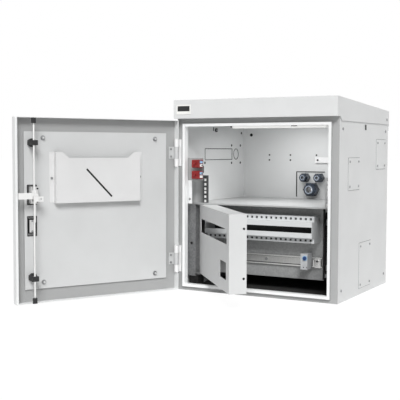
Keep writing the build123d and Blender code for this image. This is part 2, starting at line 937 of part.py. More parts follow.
def floor_mat():
    x = inside - mat_margin
    y0 = front + rim_return + mat_margin
    return block(-x, x, y0, -front - sheet - sheet - mat_margin, sheet, sheet + mat_thickness)


def foam_block():
    """Foam cable-entry block on the mat in the front left corner."""
    x0 = -inside + mat_margin
    y0 = front + post_front + block_gap
    dx, dy, dz = block_size
    z0 = sheet + mat_thickness
    return block(x0, x0 + dx, y0, y0 + dy, z0, z0 + dz)


def hinge_upright():
    """Left upright: a channel on the wall with the two ears of the cover's pivot."""
    y0 = front + post_front
    wall = -inside + seat_gap
    edge = wall + post_width
    z1 = shelf_top - shelf_lip - seat_gap
    z_ear = cover_high + seat_gap
    post = block(wall, edge, y0, y0 + sheet, post_low, z_ear + sheet)
    post += block(wall, wall + sheet, y0, y0 + post_flange, post_low, z1)
    post += block(edge - sheet, edge, y0, y0 + post_flange, post_low, z1)
    post -= along_y(-half + post_hole_in, post_hole_z, y0, y0 + sheet, post_hole_radius)
    x_pin = cover_left + cover_pivot_in
    y_pin = front + cover_front + cover_pivot_in
    for z in (cover_low - seat_gap - sheet, z_ear):
        post += block(edge - sheet, x_pin + ear_reach, y_pin - ear_front, y0 + ear_reach, z, z + sheet)
        post -= along_z(x_pin, y_pin, z, z + sheet, cover_pivot_radius)
    return post


def stop_upright():
    """Right upright: the closed cover is screwed to its two forward tabs."""
    y0 = front + stop_front
    wall = inside - seat_gap
    edge = cover_left + cover_width + stop_gap
    z1 = shelf_top - shelf_lip - seat_gap
    post = block(edge, wall, y0, y0 + sheet, post_low, z1)
    post += block(wall - sheet, wall, y0, y0 + post_flange, post_low, z1)
    y_hole = front + cover_front + cover_hole_back
    for z in cover_hole_rows:
        post += block(edge, edge + sheet, y0 - stop_tab_reach, y0 + sheet,
                      z - stop_tab_half, z + stop_tab_half)
        post -= along_x(y_hole, z, edge, edge + sheet, cover_hole_radius)
    return post


def cover_pins():
    """Pivot pins of the inner cover, pressed into the post's ears."""
    x = cover_left + cover_pivot_in
    y = front + cover_front + cover_pivot_in
    low = along_z(x, y, cover_low - seat_gap - sheet, cover_low + pin_bite, cover_pivot_radius)
    high = along_z(x, y, cover_high - pin_bite, cover_high + seat_gap + sheet, cover_pivot_radius)
    return [low, high]


def inner_cover():
    """Folded cover with a device slot, a small window and deep flanges."""
    x0 = cover_left
    x1 = x0 + cover_width
    y0 = front + cover_front
    y1 = y0 + cover_flange
    t = cover_sheet
    cover = block(x0, x1, y0, y0 + t, cover_low, cover_high)
    cover += block(x0, x1, y0, y1, cover_high - t, cover_high)
    cover += block(x1 - t, x1, y0, y1, cover_low, cover_high)
    cover += block(x0, x1, y0, y0 + cover_pivot_in * 2, cover_low, cover_low + t)
    for a, b, z0, z1 in (cover_slot, cover_window):
        cover -= block(x0 + a, x0 + b, y0, y0 + t, z0, z1)
    for z in cover_hole_rows:
        cover -= along_x(y0 + cover_hole_back, z, x1 - t, x1, cover_hole_radius)
    x = x0 + cover_pivot_in
    y = y0 + cover_pivot_in
    for z in (cover_low, cover_high - t):
        cover -= along_z(x, y, z, z + t, cover_pivot_radius + running_gap)
    return cover_swung(cover)


# Hinges

def knuckle_levels(centre):
    low = centre - hinge_length / 2
    high = centre + hinge_length / 2
    return low, centre - middle_knuckle / 2, centre + middle_knuckle / 2, high


def hinge_post(centre):
    """Outer knuckles of a hinge with the strap that is screwed to the flange."""
    low, mid_low, mid_high, high = knuckle_levels(centre)
    knuckles = None
    for z0, z1 in ((low, mid_low - knuckle_gap), (mid_high + knuckle_gap, high)):
        part = along_z(hinge_x, hinge_y, z0, z1, knuckle_radius)
        part += block(-half, hinge_x + post_web, hinge_y, front, z0, z1)
        part -= along_z(hinge_x, hinge_y, z0, z1, pin_radius)
        knuckles = part if knuckles is None else knuckles + part
    return knuckles + block(-half, hinge_x + strap_reach, front - leaf_sheet, front, low, high)


def hinge_pin(centre):
    low, mid_low, mid_high, high = knuckle_levels(centre)
    return along_z(hinge_x, hinge_y, low, high, pin_radius)


def door_leaf(centre):
    """Middle knuckle and the leaf that is screwed to the door's skin."""
    low, mid_low, mid_high, high = knuckle_levels(centre)
    knuckle = along_z(hinge_x, hinge_y, mid_low, mid_high, knuckle_radius)
    y0 = skin_back
    leaf = block(hinge_x + leaf_web_start, hinge_x + leaf_width, y0, y0 + leaf_sheet, mid_low, mid_high)
    web = block(hinge_x + leaf_web_start, hinge_x + leaf_web_end, y0, hinge_y, mid_low, mid_high)
    leaf += knuckle + web
    return swung(leaf - along_z(hinge_x, hinge_y, mid_low, mid_high, pin_radius + running_gap))


def leaf_screws():
    """Two screw heads on each door leaf."""
    heads = []
    y = skin_back + leaf_sheet
    x = hinge_x + leaf_width - leaf_screw_in
    for centre in hinge_centres:
        for z in (centre - leaf_screw_rise, centre + leaf_screw_rise):
            heads.append(swung(along_y(x, z, y, y + screw_head_height, leaf_screw_radius)))
    return heads


# Door

def door_pan():
    """Door pan: returned edges, a lip at the free edge, lock cut-outs and lining studs."""
    x0 = -half + door_margin
    x1 = half - door_margin
    y0 = front - door_gap - door_thickness
    y1 = front - door_gap
    pan = block(x0, x1, y0, y1, door_low, door_high)
    pan = fillet(pan.edges().group_by(Axis.Y)[0], pan_corner)
    pan -= block(x0 + sheet, x1 - sheet, y0 + sheet, y1, door_low + sheet, door_high - sheet)
    pan += block(x1 - door_lip, x1 - sheet / 2, y1 - sheet, y1, door_low, door_high)
    for z in cut_rows:
        reach = cut_height / 2 - cut_margin
        wide = case_width / 2 - sheet
        pan -= block(lock_x - wide, lock_x + wide, y0, y0 + sheet, z - reach, z + reach)
    for centre in hinge_centres:
        low, mid_low, mid_high, high = knuckle_levels(centre)
        pan -= block(x0, x0 + sheet, hinge_y - hinge_notch, y1,
                     low - hinge_notch_end, high + hinge_notch_end)
    for x, z in stud_places:
        pan += along_y(x, z, skin_back, lining_face + stud_reach, stud_radius)
        pan += along_y(x, z, skin_back, skin_back + lining_standoff, stud_radius + stud_collar)
    return swung(pan)


def lining_panel():
    """Lining on four studs, with two lock cut-outs."""
    x0, x1, z0, z1 = lining
    y0 = skin_back + lining_standoff
    panel = block(x0, x1, y0, y0 + sheet, z0, z1)
    for x, z in stud_places:
        panel -= along_y(x, z, y0, y0 + sheet, stud_radius + seat_gap)
    for z in cut_rows:
        wide = cut_width / 2
        tall = cut_height / 2
        panel -= block(lock_x - wide, lock_x + wide, y0, y0 + sheet, z - tall, z + tall)
    return swung(panel)


def lining_nuts():
    """A washer and a nut on each stud of the door."""
    nuts = []
    for x, z in stud_places:
        nut = hexagon(x, z, lining_face, lining_face + nut_height, nut_across)
        nut += along_y(x, z, lining_face, lining_face + washer_height, washer_radius)
        nuts.append(swung(nut - along_y(x, z, lining_face, lining_face + nut_height, stud_radius)))
    return nuts


def document_pocket():
    """Folded pocket with a dipped top edge and a slanting slot."""
    x0, x1, z0, z1 = pocket
    y0 = lining_face
    y1 = y0 + pocket_depth
    t = pocket_sheet
    outline = Polyline([(x0, 0, z0), (x1, 0, z0), (x1, 0, z1), (x1 - pocket_corner, 0, z1),
                        (x1 - pocket_corner - pocket_slope, 0, z1 - pocket_dip),
                        (x0 + pocket_corner + pocket_slope, 0, z1 - pocket_dip),
                        (x0 + pocket_corner, 0, z1), (x0, 0, z1)], close=True)
    face = Pos(0, y1 - t, 0) * extrude(make_face(outline), t, dir=(0, 1, 0))
    body = face + block(x0, x1, y0, y1, z0, z0 + t)
    for side, x in ((-1, x0), (1, x1)):
        a, b = sorted((x, x - side * t))
        body += block(a, b, y0, y1, z0, z1)
        a, b = sorted((x - side * t, x + side * pocket_tab))
        body += block(a, b, y0, y0 + t, z0 + 2, z1)
        body -= along_y(x + side * pocket_tab / 2, pocket_screw_z, y0, y0 + t, pocket_screw_hole)
    xa, za, xb, zb = pocket_slot
    length = math.hypot(xb - xa, zb - za)
    angle = math.degrees(math.atan2(zb - za, xb - xa))
    slot = extrude(SlotOverall(length, pocket_slot_width), t * 4, both=True)
    body -= Pos((xa + xb) / 2, y1, (za + zb) / 2) * Rot(90, 0, 0) * Rot(0, 0, angle) * slot
    return swung(body)


def pocket_screws():
    heads = []
    for side, x in ((-1, pocket[0]), (1, pocket[1])):
        y0 = lining_face + pocket_sheet
        x_tab = x + side * pocket_tab / 2
        head = along_y(x_tab, pocket_screw_z, y0, y0 + pocket_screw_height, pocket_screw_radius)
        heads.append(swung(head))
    return heads


# Lock

def rod_guide(z):
    """Plastic guide: round foot on the lining and a block with the rod's bore."""
    y0 = lining_face
    foot = along_y(lock_x, z, y0, y0 + guide_disc_height, guide_disc_radius)
    foot = fillet(foot.edges().group_by(Axis.Y)[-1], 2)
    tall = guide_block_height / 2
    foot += block(guide_block_left, guide_block_right, y0, lock_plane + guide_reach, z - tall, z + tall)
    return swung(foot - along_z(rod_x, lock_plane, z - tall, z + tall, rod_radius + running_gap))


def lock_case():
    """Case of the lock, through the lining's upper cut-out."""
    wide = case_width / 2
    tall = case_height / 2
    z = cut_rows[0]
    case = block(lock_x - wide, lock_x + wide, skin_back, front + case_rear, z - tall, z + tall)
    case = chamfer(case.edges().group_by(Axis.Y)[-1], 2)
    return swung(case - along_y(lock_x, lock_z, skin_back, front + case_rear,
                                spindle_radius + running_gap))


def handle_dish():
    """Escutcheon of the swing handle with its lower boss through the door."""
    y1 = front - door_gap - door_thickness
    y0 = y1 - dish_thickness
    middle = (dish_low + dish_high) / 2
    outline = SlotOverall(dish_high - dish_low, dish_width)
    plate = Pos(lock_x, y1, middle) * Rot(90, 0, 0) * Rot(0, 0, 90) * extrude(outline, dish_thickness)
    plate = fillet(plate.edges().group_by(Axis.Y)[0], 2)
    wide = case_width / 2 - 3
    reach = cut_height / 2 - 8
    z = cut_rows[1]
    boss = block(lock_x - wide, lock_x + wide, y1, skin_back + 6, z - reach, z + reach)
    boss -= block(lock_x - wide + 5, lock_x + wide - 5, skin_back, skin_back + 6,
                  z - reach + 6, z + reach - 6)
    plate += boss
    return swung(plate - along_y(lock_x, lock_z, y0, y1, spindle_radius + running_gap))


def spindle():
    """Spindle with the handle's fork outside."""
    outer = front - door_gap - door_thickness - dish_thickness - seat_gap
    inner = front + case_rear + cam_gap
    shaft = along_y(lock_x, lock_z, outer - 3, inner, spindle_radius)
    shaft += along_y(lock_x, lock_z, outer - 3, outer, head_radius)
    y_pin = lift_y()
    ear = ear_gap / 2
    for side in (-1, 1):
        x0, x1 = sorted((lock_x + side * ear, lock_x + side * (ear + ear_width)))
        shaft += block(x0, x1, y_pin - 6, outer - 1, lock_z - 6, lock_z + 6)
    return swung(shaft + along_x(y_pin, lock_z, lock_x - ear - ear_width, lock_x + ear + ear_width,
                                 lift_pin_radius))


def lift_y():
    """Place of the lift pin, in front of the fork's disc."""
    disc = front - door_gap - door_thickness - dish_thickness - seat_gap - 3
    return disc - grip_gap - 3


def handle_grip():
    """Swing handle that lies down over the dish."""
    y_pin = lift_y()
    wide = ear_gap / 2 - seat_gap
    eye = along_x(y_pin, lock_z, lock_x - wide, lock_x + wide, eye_radius)
    eye += block(lock_x - wide, lock_x + wide, y_pin - 6, y_pin + 4, lock_z - grip_neck, lock_z)
    y1 = y_pin + grip_thickness / 2
    bar = block(lock_x - grip_width / 2, lock_x + grip_width / 2, y1 - grip_thickness, y1,
                grip_low, lock_z - grip_start)
    bar = fillet(bar.edges().filter_by(Axis.Y), grip_corner)
    bar = fillet(bar.edges().group_by(Axis.Y)[0], grip_edge)
    grip = eye + bar
    return swung(grip - along_x(y_pin, lock_z, lock_x - wide, lock_x + wide,
                                lift_pin_radius + running_gap))


def cam_back():
    """Level of the cam's far face, just clear of the rods' flats."""
    return lock_plane - rod_flat / 2 - cam_gap


def lower_layer():
    """Level of the lower rod's flat, which passes behind the upper rod's."""
    return lock_plane + rod_flat / 2 + seat_gap


def lock_cam():
    """Cam plate: hub, tongue and a slanting bar that carries the two rod pins."""
    y1 = cam_back()
    y0 = y1 - cam_thickness
    a = rod_travel / 2
    cam = along_y(lock_x, lock_z, front + case_rear + cam_gap, y1, cam_hub_radius)
    bar = extrude(SlotCenterToCenter(2 * pin_circle, 2 * cam_bar_radius), cam_thickness)
    cam += Pos(lock_x, y1, lock_z) * Rot(90, 0, 0) * Rot(0, 0, 45) * bar
    wide = tongue_width / 2
    cam += block(lock_x, lock_x + tongue_reach, y0, y1, lock_z - wide, lock_z + wide)
    cam += along_y(lock_x + a, lock_z + a, y1, lock_plane + rod_flat / 2, cam_pin_radius)
    cam += along_y(lock_x - a, lock_z - a, y1, lower_layer() + rod_flat, cam_pin_radius)
    return swung(cam)


def lock_rod(sign):
    """Rod with a flat yoke for its cam pin and a thin end for its runner."""
    pin_x = lock_x + sign * rod_travel / 2
    pin_z = lock_z + sign * rod_travel / 2
    if sign > 0:
        y0 = lock_plane - rod_flat / 2
        z_round = lock_z + pin_circle + cam_bar_radius + rod_travel + rod_margin
        z_end = tip_top - tip_cap
        z_thin = tip_top - tip_height - thin_rise
    else:
        y0 = lower_layer()
        z_round = lock_z - tongue_reach - rod_travel - rod_margin
        z_end = tip_low + tip_cap
        z_thin = tip_low + tip_height + thin_rise
    y1 = y0 + rod_flat
    a, b = sorted((z_round, z_thin))
    rod = along_z(rod_x, lock_plane, a, b, rod_radius)
    a, b = sorted((z_thin, z_end))
    rod += along_z(rod_x, lock_plane, a, b, rod_tip_radius)
    slot_half = cam_pin_radius + yoke_slack
    swing = pin_circle - rod_travel / 2
    a, b = sorted((pin_z - sign * (slot_half + yoke_wall), z_round + sign * flat_lap))
    rod += block(rod_x - rod_radius, rod_x + rod_radius, y0, y1, a, b)
    a, b = sorted((pin_z - sign * (slot_half + yoke_wall), pin_z + sign * (slot_half + yoke_wall)))
    if sign > 0:
        inner = pin_x - slot_half
        rod += block(inner - yoke_web, closing_edge, y0, y1, a, b)
        rod -= block(inner, closing_edge, y0, y1, pin_z - slot_half, pin_z + slot_half)
    else:
        outer = pin_x + slot_half
        inner = pin_x - swing - slot_half
        rod += block(inner - yoke_wall, rod_x, y0, y1, a, b)
        rod -= block(inner, outer, y0, y1, pin_z - slot_half, pin_z + slot_half)
    return swung(rod)


def rod_tip(sign):
    """Black plastic runner on a rod's end."""
    z0 = tip_top - tip_height if sign > 0 else tip_low
    wide = tip_size / 2
    deep = tip_depth / 2
    tip = block(rod_x - wide, rod_x + wide, lock_plane - deep, lock_plane + deep, z0, z0 + tip_height)
    tip = fillet(tip.edges().filter_by(Axis.Z), 2)
    return swung(tip - along_z(rod_x, lock_plane, z0, z0 + tip_height, rod_tip_radius + running_gap))


def write_body():
    save("front_frame", front_frame())
    save("left_side_panel", left_panel())
    save("right_side_panel", right_panel())
    save("rear_panel", rear_panel())
    save("floor_panel", floor_panel())
    save("roof_panel", roof_panel())
    save("rain_hood", rain_hood())
    screws = panel_screws() + plate_screws(-1, left_plate)
    covers = [side_cover(1, bounds) for bounds in right_plates]
    for bounds in right_plates:
        screws += plate_screws(1, bounds)
    save("right_side_covers", *covers)
    save("left_side_cover", side_cover(-1, left_plate))
    save("panel_screws", *screws)


def write_rear_equipment():
    save("gland_gasket", gland_gasket())
    save("gland_plate", gland_plate())
    save("gland_bodies", *[gland_body(*place) for place in gland_places()])
    save("gland_caps", *[gland_cap(*place) for place in gland_places()])
    save("gland_locknuts", *gland_locknuts())
    save("tie_bar", tie_bar())


def write_upper_compartment():
    save("shelf", shelf())
    save("rack_rails", rack_rail(-1), rack_rail(1))
    save("lamp_bar", lamp_bar())
    save("lamp_plug", lamp_plug())
    save("lamp_rocker", lamp_rocker())
    save("contact_bracket", contact_bracket())
    save("door_contacts", door_contact(0), door_contact(1))
    for index, name in enumerate(("lower", "upper")):
        save(f"{name}_contact_button", contact_button(index))
    save("contact_leads", contact_lead(0), contact_lead(1))
    save("cable_clip", cable_clip())


def write_lower_compartment():
    save("mounting_board", mounting_board())
    save("board_arms", *board_arms())
    save("device_carrier", *device_carrier())
    save("carrier_ends", carrier_end(-1), carrier_end(1))
    save("din_rail", din_rail())
    save("din_screws", *din_screws())
    save("temperature_control", temperature_control())
    save("control_dial", control_dial())
    save("end_clamp", end_clamp())
    save("floor_mat", floor_mat())
    save("foam_block", foam_block())
    save("cover_posts", hinge_upright(), stop_upright())
    save("cover_pins", *cover_pins())
    save("inner_cover", inner_cover())


def write_door():
    save("hinge_posts", *[hinge_post(centre) for centre in hinge_centres])
    save("hinge_pins", *[hinge_pin(centre) for centre in hinge_centres])
    save("door_leaves", *[door_leaf(centre) for centre in hinge_centres])
    save("door_screws", *leaf_screws(), *pocket_screws())
    save("door_pan", door_pan())
    save("lining_panel", lining_panel())
    save("lining_nuts", *lining_nuts())
    save("document_pocket", document_pocket())


def write_lock():
    save("rod_guides", *[rod_guide(z) for z in guide_rows])
    save("lock_case", lock_case())
    save("handle_dish", handle_dish())
    save("lock_spindle", spindle())
    save("lock_cam", lock_cam())
    save("handle_grip", handle_grip())
    for sign, name in ((-1, "lower"), (1, "upper")):
        save(f"{name}_rod", lock_rod(sign))
        save(f"{name}_rod_tip", rod_tip(sign))


os.makedirs("parts", exist_ok=True)
write_body()
write_rear_equipment()
write_upper_compartment()
write_lower_compartment()
write_door()
write_lock()
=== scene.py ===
import json
import math

import bmesh
import bpy
from mathutils import Matrix, Vector


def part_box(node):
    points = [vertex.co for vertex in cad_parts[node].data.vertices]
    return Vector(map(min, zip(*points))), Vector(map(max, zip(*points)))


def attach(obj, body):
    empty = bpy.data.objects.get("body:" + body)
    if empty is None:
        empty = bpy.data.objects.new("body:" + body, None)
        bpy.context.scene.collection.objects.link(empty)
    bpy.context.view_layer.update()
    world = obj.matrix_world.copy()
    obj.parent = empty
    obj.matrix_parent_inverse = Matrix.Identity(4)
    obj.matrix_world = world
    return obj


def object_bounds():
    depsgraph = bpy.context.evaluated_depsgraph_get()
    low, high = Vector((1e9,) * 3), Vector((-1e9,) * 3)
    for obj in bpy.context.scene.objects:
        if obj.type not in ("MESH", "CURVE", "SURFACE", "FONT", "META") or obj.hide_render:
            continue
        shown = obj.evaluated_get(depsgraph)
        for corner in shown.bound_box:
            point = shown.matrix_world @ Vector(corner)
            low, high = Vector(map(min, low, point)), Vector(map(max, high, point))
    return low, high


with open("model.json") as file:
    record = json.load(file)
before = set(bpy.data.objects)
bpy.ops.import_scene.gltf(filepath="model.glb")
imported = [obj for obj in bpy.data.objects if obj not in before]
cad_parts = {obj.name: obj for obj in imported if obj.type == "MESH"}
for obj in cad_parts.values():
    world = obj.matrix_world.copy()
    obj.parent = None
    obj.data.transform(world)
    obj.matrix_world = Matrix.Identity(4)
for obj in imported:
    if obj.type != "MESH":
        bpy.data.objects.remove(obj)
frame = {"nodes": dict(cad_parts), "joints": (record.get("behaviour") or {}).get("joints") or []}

cad_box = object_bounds()
MM = 0.001
nodes = frame["nodes"]
joints = {joint["name"]: joint for joint in frame["joints"]}

FRONT = (0, -1, 0)
REAR = (0, 1, 0)
RIGHT = (1, 0, 0)
UP = (0, 0, 1)
DOWN = (0, 0, -1)

# The camera stands to the right of the open door, level with the upper compartment.
CAMERA_PLACE = (1.24242, -2.84069, 0.49872)
CAMERA_AZIMUTH = math.radians(29.383)
CAMERA_PITCH = math.radians(3.415)
CAMERA_ROLL = math.radians(0.16)
LENS_MM = 76.13
SENSOR_MM = 36.0

# The turn of the open door from its shut place, and the direction in which its inside faces.
door_joint = joints["door_swing"]
hinge_line = Vector(door_joint["pos_m"])
door_angle = -math.radians(door_joint["range_deg"][1])
door_turn = (Matrix.Translation(hinge_line) @ Matrix.Rotation(door_angle, 4, "Z")
             @ Matrix.Translation(-hinge_line))
door_face = Matrix.Rotation(door_angle, 3, "Z") @ Vector(REAR)


def deselect():
    """Leaves nothing selected, so that an operator acts only on what comes next."""
    bpy.ops.object.select_all(action="DESELECT")


def pick(piece):
    """Makes one piece the selected and active one."""
    deselect()
    piece.select_set(True)
    bpy.context.view_layer.objects.active = piece


# Materials

COAT_IOR = 1.5
# Sizes of the soft colour patches in millimetres.
COAT_PATCH = 140
MOULDED_PATCH = 25


def colour(code):
    """Linear colour of an sRGB hex value."""
    parts = [int(code[i:i + 2], 16) / 255 for i in (0, 2, 4)]
    linear = [p / 12.92 if p <= 0.04045 else ((p + 0.055) / 1.055) ** 2.4 for p in parts]
    return (*linear, 1.0)


def per_mm(size):
    """Texture scale that gives a pattern of this size in millimetres on Object coordinates."""
    return 1.0 / (size * MM)


def add(tree, kind, inputs=None, stops=(), **settings):
    """Adds a node; each input is a value, or the output socket that feeds it.

    A ramp's stops are (position, hex colour) pairs in rising order."""
    made = tree.nodes.new(kind)
    for name, value in settings.items():
        setattr(made, name, value)
    for name, value in (inputs or {}).items():
        if isinstance(value, bpy.types.NodeSocket):
            tree.links.new(value, made.inputs[name])
        else:
            made.inputs[name].default_value = value
    for index, (position, code) in enumerate(stops):
        if index > 1:
            made.color_ramp.elements.new(position)
        made.color_ramp.elements[index].position = position
        made.color_ramp.elements[index].color = colour(code)
    return made


def start_material(name, constants):
    """Empty material; returns it, its tree, its shader with constants, and its coordinates."""
    material = bpy.data.materials.new(name)
    material.use_nodes = True
    tree = material.node_tree
    tree.nodes.clear()
    shader = add(tree, "ShaderNodeBsdfPrincipled", constants)
    add(tree, "ShaderNodeOutputMaterial", {"Surface": shader.outputs["BSDF"]})
    place = add(tree, "ShaderNodeTexCoord").outputs["Object"]
    return material, tree, shader, place


def feed(tree, source, node, socket):
    tree.links.new(source, node.inputs[socket])


def fine_grain(tree, shader, place, size, strength, depth, edge=None):
    """Fine relief of a size and depth in mm, with edges rounded where a radius in mm is given."""
    grains = add(tree, "ShaderNodeTexNoise", {"Vector": place, "Scale": per_mm(size),
                                              "Detail": 2.0})
    bump = add(tree, "ShaderNodeBump", {"Height": grains.outputs["Fac"], "Strength": strength,
                                        "Distance": depth * MM})
    if edge:
        rounded = add(tree, "ShaderNodeBevel", {"Radius": edge * MM}, samples=4)
        feed(tree, rounded.outputs["Normal"], bump, "Normal")
    feed(tree, bump.outputs["Normal"], shader, "Normal")


def mottled(tree, place, first, second, size):
    """Two close colours in soft patches of the given size in millimetres."""
    patches = add(tree, "ShaderNodeTexNoise", {"Vector": place, "Scale": per_mm(size),
                                               "Detail": 3.0})
    ramp = add(tree, "ShaderNodeValToRGB", {"Fac": patches.outputs["Fac"]},
               stops=[(0.35, first), (0.65, second)])
    return ramp.outputs["Color"]


def painted_recess_shade(tree, place, tone, tray):
    """Painted shade in a tray: its deeper faces a shade darker than its lip, as shade falls there.
    """
    direction, lip, bottom, shade, inside_only = tray
    depth = add(tree, "ShaderNodeVectorMath", {0: place, 1: direction}, operation="DOT_PRODUCT")
    shade_factor = add(tree, "ShaderNodeMapRange", {"Value": depth.outputs["Value"], "From Min": lip,
                                            "From Max": bottom, "To Min": 1.0, "To Max": shade})
    value = shade_factor.outputs["Result"]
    if inside_only:
        normal = place.node.outputs["Normal"]
        inward = add(tree, "ShaderNodeVectorMath", {0: normal, 1: direction},
                     operation="DOT_PRODUCT")
        outside = add(tree, "ShaderNodeMapRange", {"Value": inward.outputs["Value"],
                                                   "From Min": 0.3, "From Max": 0.7,
                                                   "To Min": 1.0, "To Max": 0.0})
        value = add(tree, "ShaderNodeMath", {0: value, 1: outside.outputs["Result"]},
                    operation="MAXIMUM").outputs["Value"]
    return add(tree, "ShaderNodeHueSaturation", {"Color": tone, "Value": value}).outputs["Color"]


def painted_flange_shade(tree, place, tone, reach):
    """Painted shade: the flat flange outside a raised rim is a shade darker than the rim."""
    half_width, middle, half_height, shade = reach
    axes = add(tree, "ShaderNodeSeparateXYZ", {"Vector": place})
    above = add(tree, "ShaderNodeMath", {0: axes.outputs["Z"], 1: middle}, operation="SUBTRACT")
    outside = []
    for reached, half in ((axes.outputs["X"], half_width), (above.outputs["Value"], half_height)):
        size = add(tree, "ShaderNodeMath", {0: reached}, operation="ABSOLUTE")
        beyond = add(tree, "ShaderNodeMath", {0: size.outputs["Value"], 1: half},
                     operation="GREATER_THAN")
        outside.append(beyond.outputs["Value"])
    either = add(tree, "ShaderNodeMath", dict(enumerate(outside)), operation="MAXIMUM")
    shade_factor = add(tree, "ShaderNodeMapRange", {"Value": either.outputs["Value"], "To Min": 1.0,
                                            "To Max": shade})
    dark = add(tree, "ShaderNodeHueSaturation", {"Color": tone, "Value": shade_factor.outputs["Result"]})
    return dark.outputs["Color"]


def powder_coat(name, first, second, grain=1.6, edge=0.8, tray=None, flange=None):
    """Polyester powder coat on steel: sprayed and baked, with faint orange peel and soft edges."""
    material, tree, shader, place = start_material(name, {"Roughness": 0.42, "IOR": COAT_IOR})
    tone = mottled(tree, place, first, second, COAT_PATCH)
    # Painted shade, darker towards a tray's bottom, where a tray is given.
    if tray:
        tone = painted_recess_shade(tree, place, tone, tray)
    # Painted shade on the flat flange outside a rim, where a flange is given.
    if flange:
        tone = painted_flange_shade(tree, place, tone, flange)
    feed(tree, tone, shader, "Base Color")
    fine_grain(tree, shader, place, grain, 0.12, 0.15, edge)
    return material


def rail_paint_with_painted_shade(name, light, dark, span):
    """Pale rack rail; painted shade darkens the bent inner half of the left one nearly to black.
    """
    material, tree, shader, place = start_material(name, {"Roughness": 0.5, "IOR": COAT_IOR})
    axes = add(tree, "ShaderNodeSeparateXYZ", {"Vector": place})
    across = add(tree, "ShaderNodeMapRange", {"Value": axes.outputs["X"], "From Min": span[0],
                                              "From Max": span[1]})
    ramp = add(tree, "ShaderNodeValToRGB", {"Fac": across.outputs["Result"]},
               stops=[(0.0, light), (0.65, dark), (0.999, dark), (1.0, light)])
    feed(tree, ramp.outputs["Color"], shader, "Base Color")
    fine_grain(tree, shader, place, 1.2, 0.12, 0.15)
    return material


def galvanised(name, first, second, metallic):
    """Hot-dip galvanised sheet: crystals of zinc give it a mottled grey spangle."""
    spangle = 5.0
    roughness = 0.46
    material, tree, shader, place = start_material(name, {"Metallic": metallic})
    cells = add(tree, "ShaderNodeTexVoronoi", {"Vector": place, "Scale": per_mm(spangle)})
    cloud = add(tree, "ShaderNodeTexNoise", {"Vector": place, "Scale": per_mm(spangle * 3),
                                             "Detail": 4.0})
    grey = add(tree, "ShaderNodeRGBToBW", {"Color": cells.outputs["Color"]})
    blend = add(tree, "ShaderNodeMath", {0: grey.outputs["Val"], 1: cloud.outputs["Fac"]},
                operation="MULTIPLY")
    ramp = add(tree, "ShaderNodeValToRGB", {"Fac": blend.outputs["Value"]},
               stops=[(0.1, first), (0.45, second)])
    feed(tree, ramp.outputs["Color"], shader, "Base Color")
    rough = add(tree, "ShaderNodeMapRange", {"Value": blend.outputs["Value"], "From Max": 0.6,
                                             "To Min": roughness - 0.06,
                                             "To Max": roughness + 0.1})
    feed(tree, rough.outputs["Result"], shader, "Roughness")
    bump = add(tree, "ShaderNodeBump", {"Height": cloud.outputs["Fac"], "Strength": 0.15,
                                        "Distance": 0.2 * MM})
    feed(tree, bump.outputs["Normal"], shader, "Normal")
    return material


def painted_rail_shading(tree, place, tone, span):
    """Painted shade in the two corners of a top-hat rail, and on its web, darker than its flanges.
    """
    flange, corner_shade, web = "FFFFFF", "6E6E6E", "E2E2E2"
    axes = add(tree, "ShaderNodeSeparateXYZ", {"Vector": place})
    across = add(tree, "ShaderNodeMapRange", {"Value": axes.outputs["Z"], "From Min": span[0],
                                              "From Max": span[1]})
    bands = add(tree, "ShaderNodeValToRGB", {"Fac": across.outputs["Result"]},
                stops=[(0.0, flange), (0.13, corner_shade), (0.18, web), (0.82, corner_shade), (0.87, flange)])
    bands.color_ramp.interpolation = "CONSTANT"
    both = add(tree, "ShaderNodeVectorMath", {0: tone, 1: bands.outputs["Color"]},
               operation="MULTIPLY")
    return both.outputs["Vector"]


def zinc_plate(name, first, second, roughness=0.3, span=None):
    """Bright zinc plate on turned or stamped steel: a clean metal with fine drawn lines.

    The real lines are about 0.1 mm wide and are drawn coarser, so that they show."""
    line_size = 0.9
    material, tree, shader, place = start_material(name, {"Metallic": 1.0})
    stretched = add(tree, "ShaderNodeMapping", {"Vector": place, "Scale": (1.0, 1.0, 0.08)})
    lines = add(tree, "ShaderNodeTexNoise", {"Vector": stretched.outputs["Vector"],
                                             "Scale": per_mm(line_size), "Detail": 3.0})
    ramp = add(tree, "ShaderNodeValToRGB", {"Fac": lines.outputs["Fac"]},
               stops=[(0.3, first), (0.7, second)])
    tone = ramp.outputs["Color"]
    # Painted shading across a top-hat rail, between the span's two edges.
    if span:
        tone = painted_rail_shading(tree, place, tone, span)
    feed(tree, tone, shader, "Base Color")
    rough = add(tree, "ShaderNodeMapRange", {"Value": lines.outputs["Fac"],
                                             "To Min": roughness - 0.07,
                                             "To Max": roughness + 0.07})
    feed(tree, rough.outputs["Result"], shader, "Roughness")
    return material


def moulded(name, first, second, roughness=0.45, glow=0.0):
    """Moulded plastic or rubber with the fine spark-eroded grain of its tool.

    The real grain is about 0.1 mm and is drawn coarser, so that it shows."""
    constants = {"Emission Color": colour(second), "Emission Strength": glow,
                 "Roughness": roughness, "IOR": COAT_IOR}
    material, tree, shader, place = start_material(name, constants)
    tone = mottled(tree, place, first, second, MOULDED_PATCH)
    feed(tree, tone, shader, "Base Color")
    fine_grain(tree, shader, place, 1.2, 0.2, 0.1, 0.5)
    return material


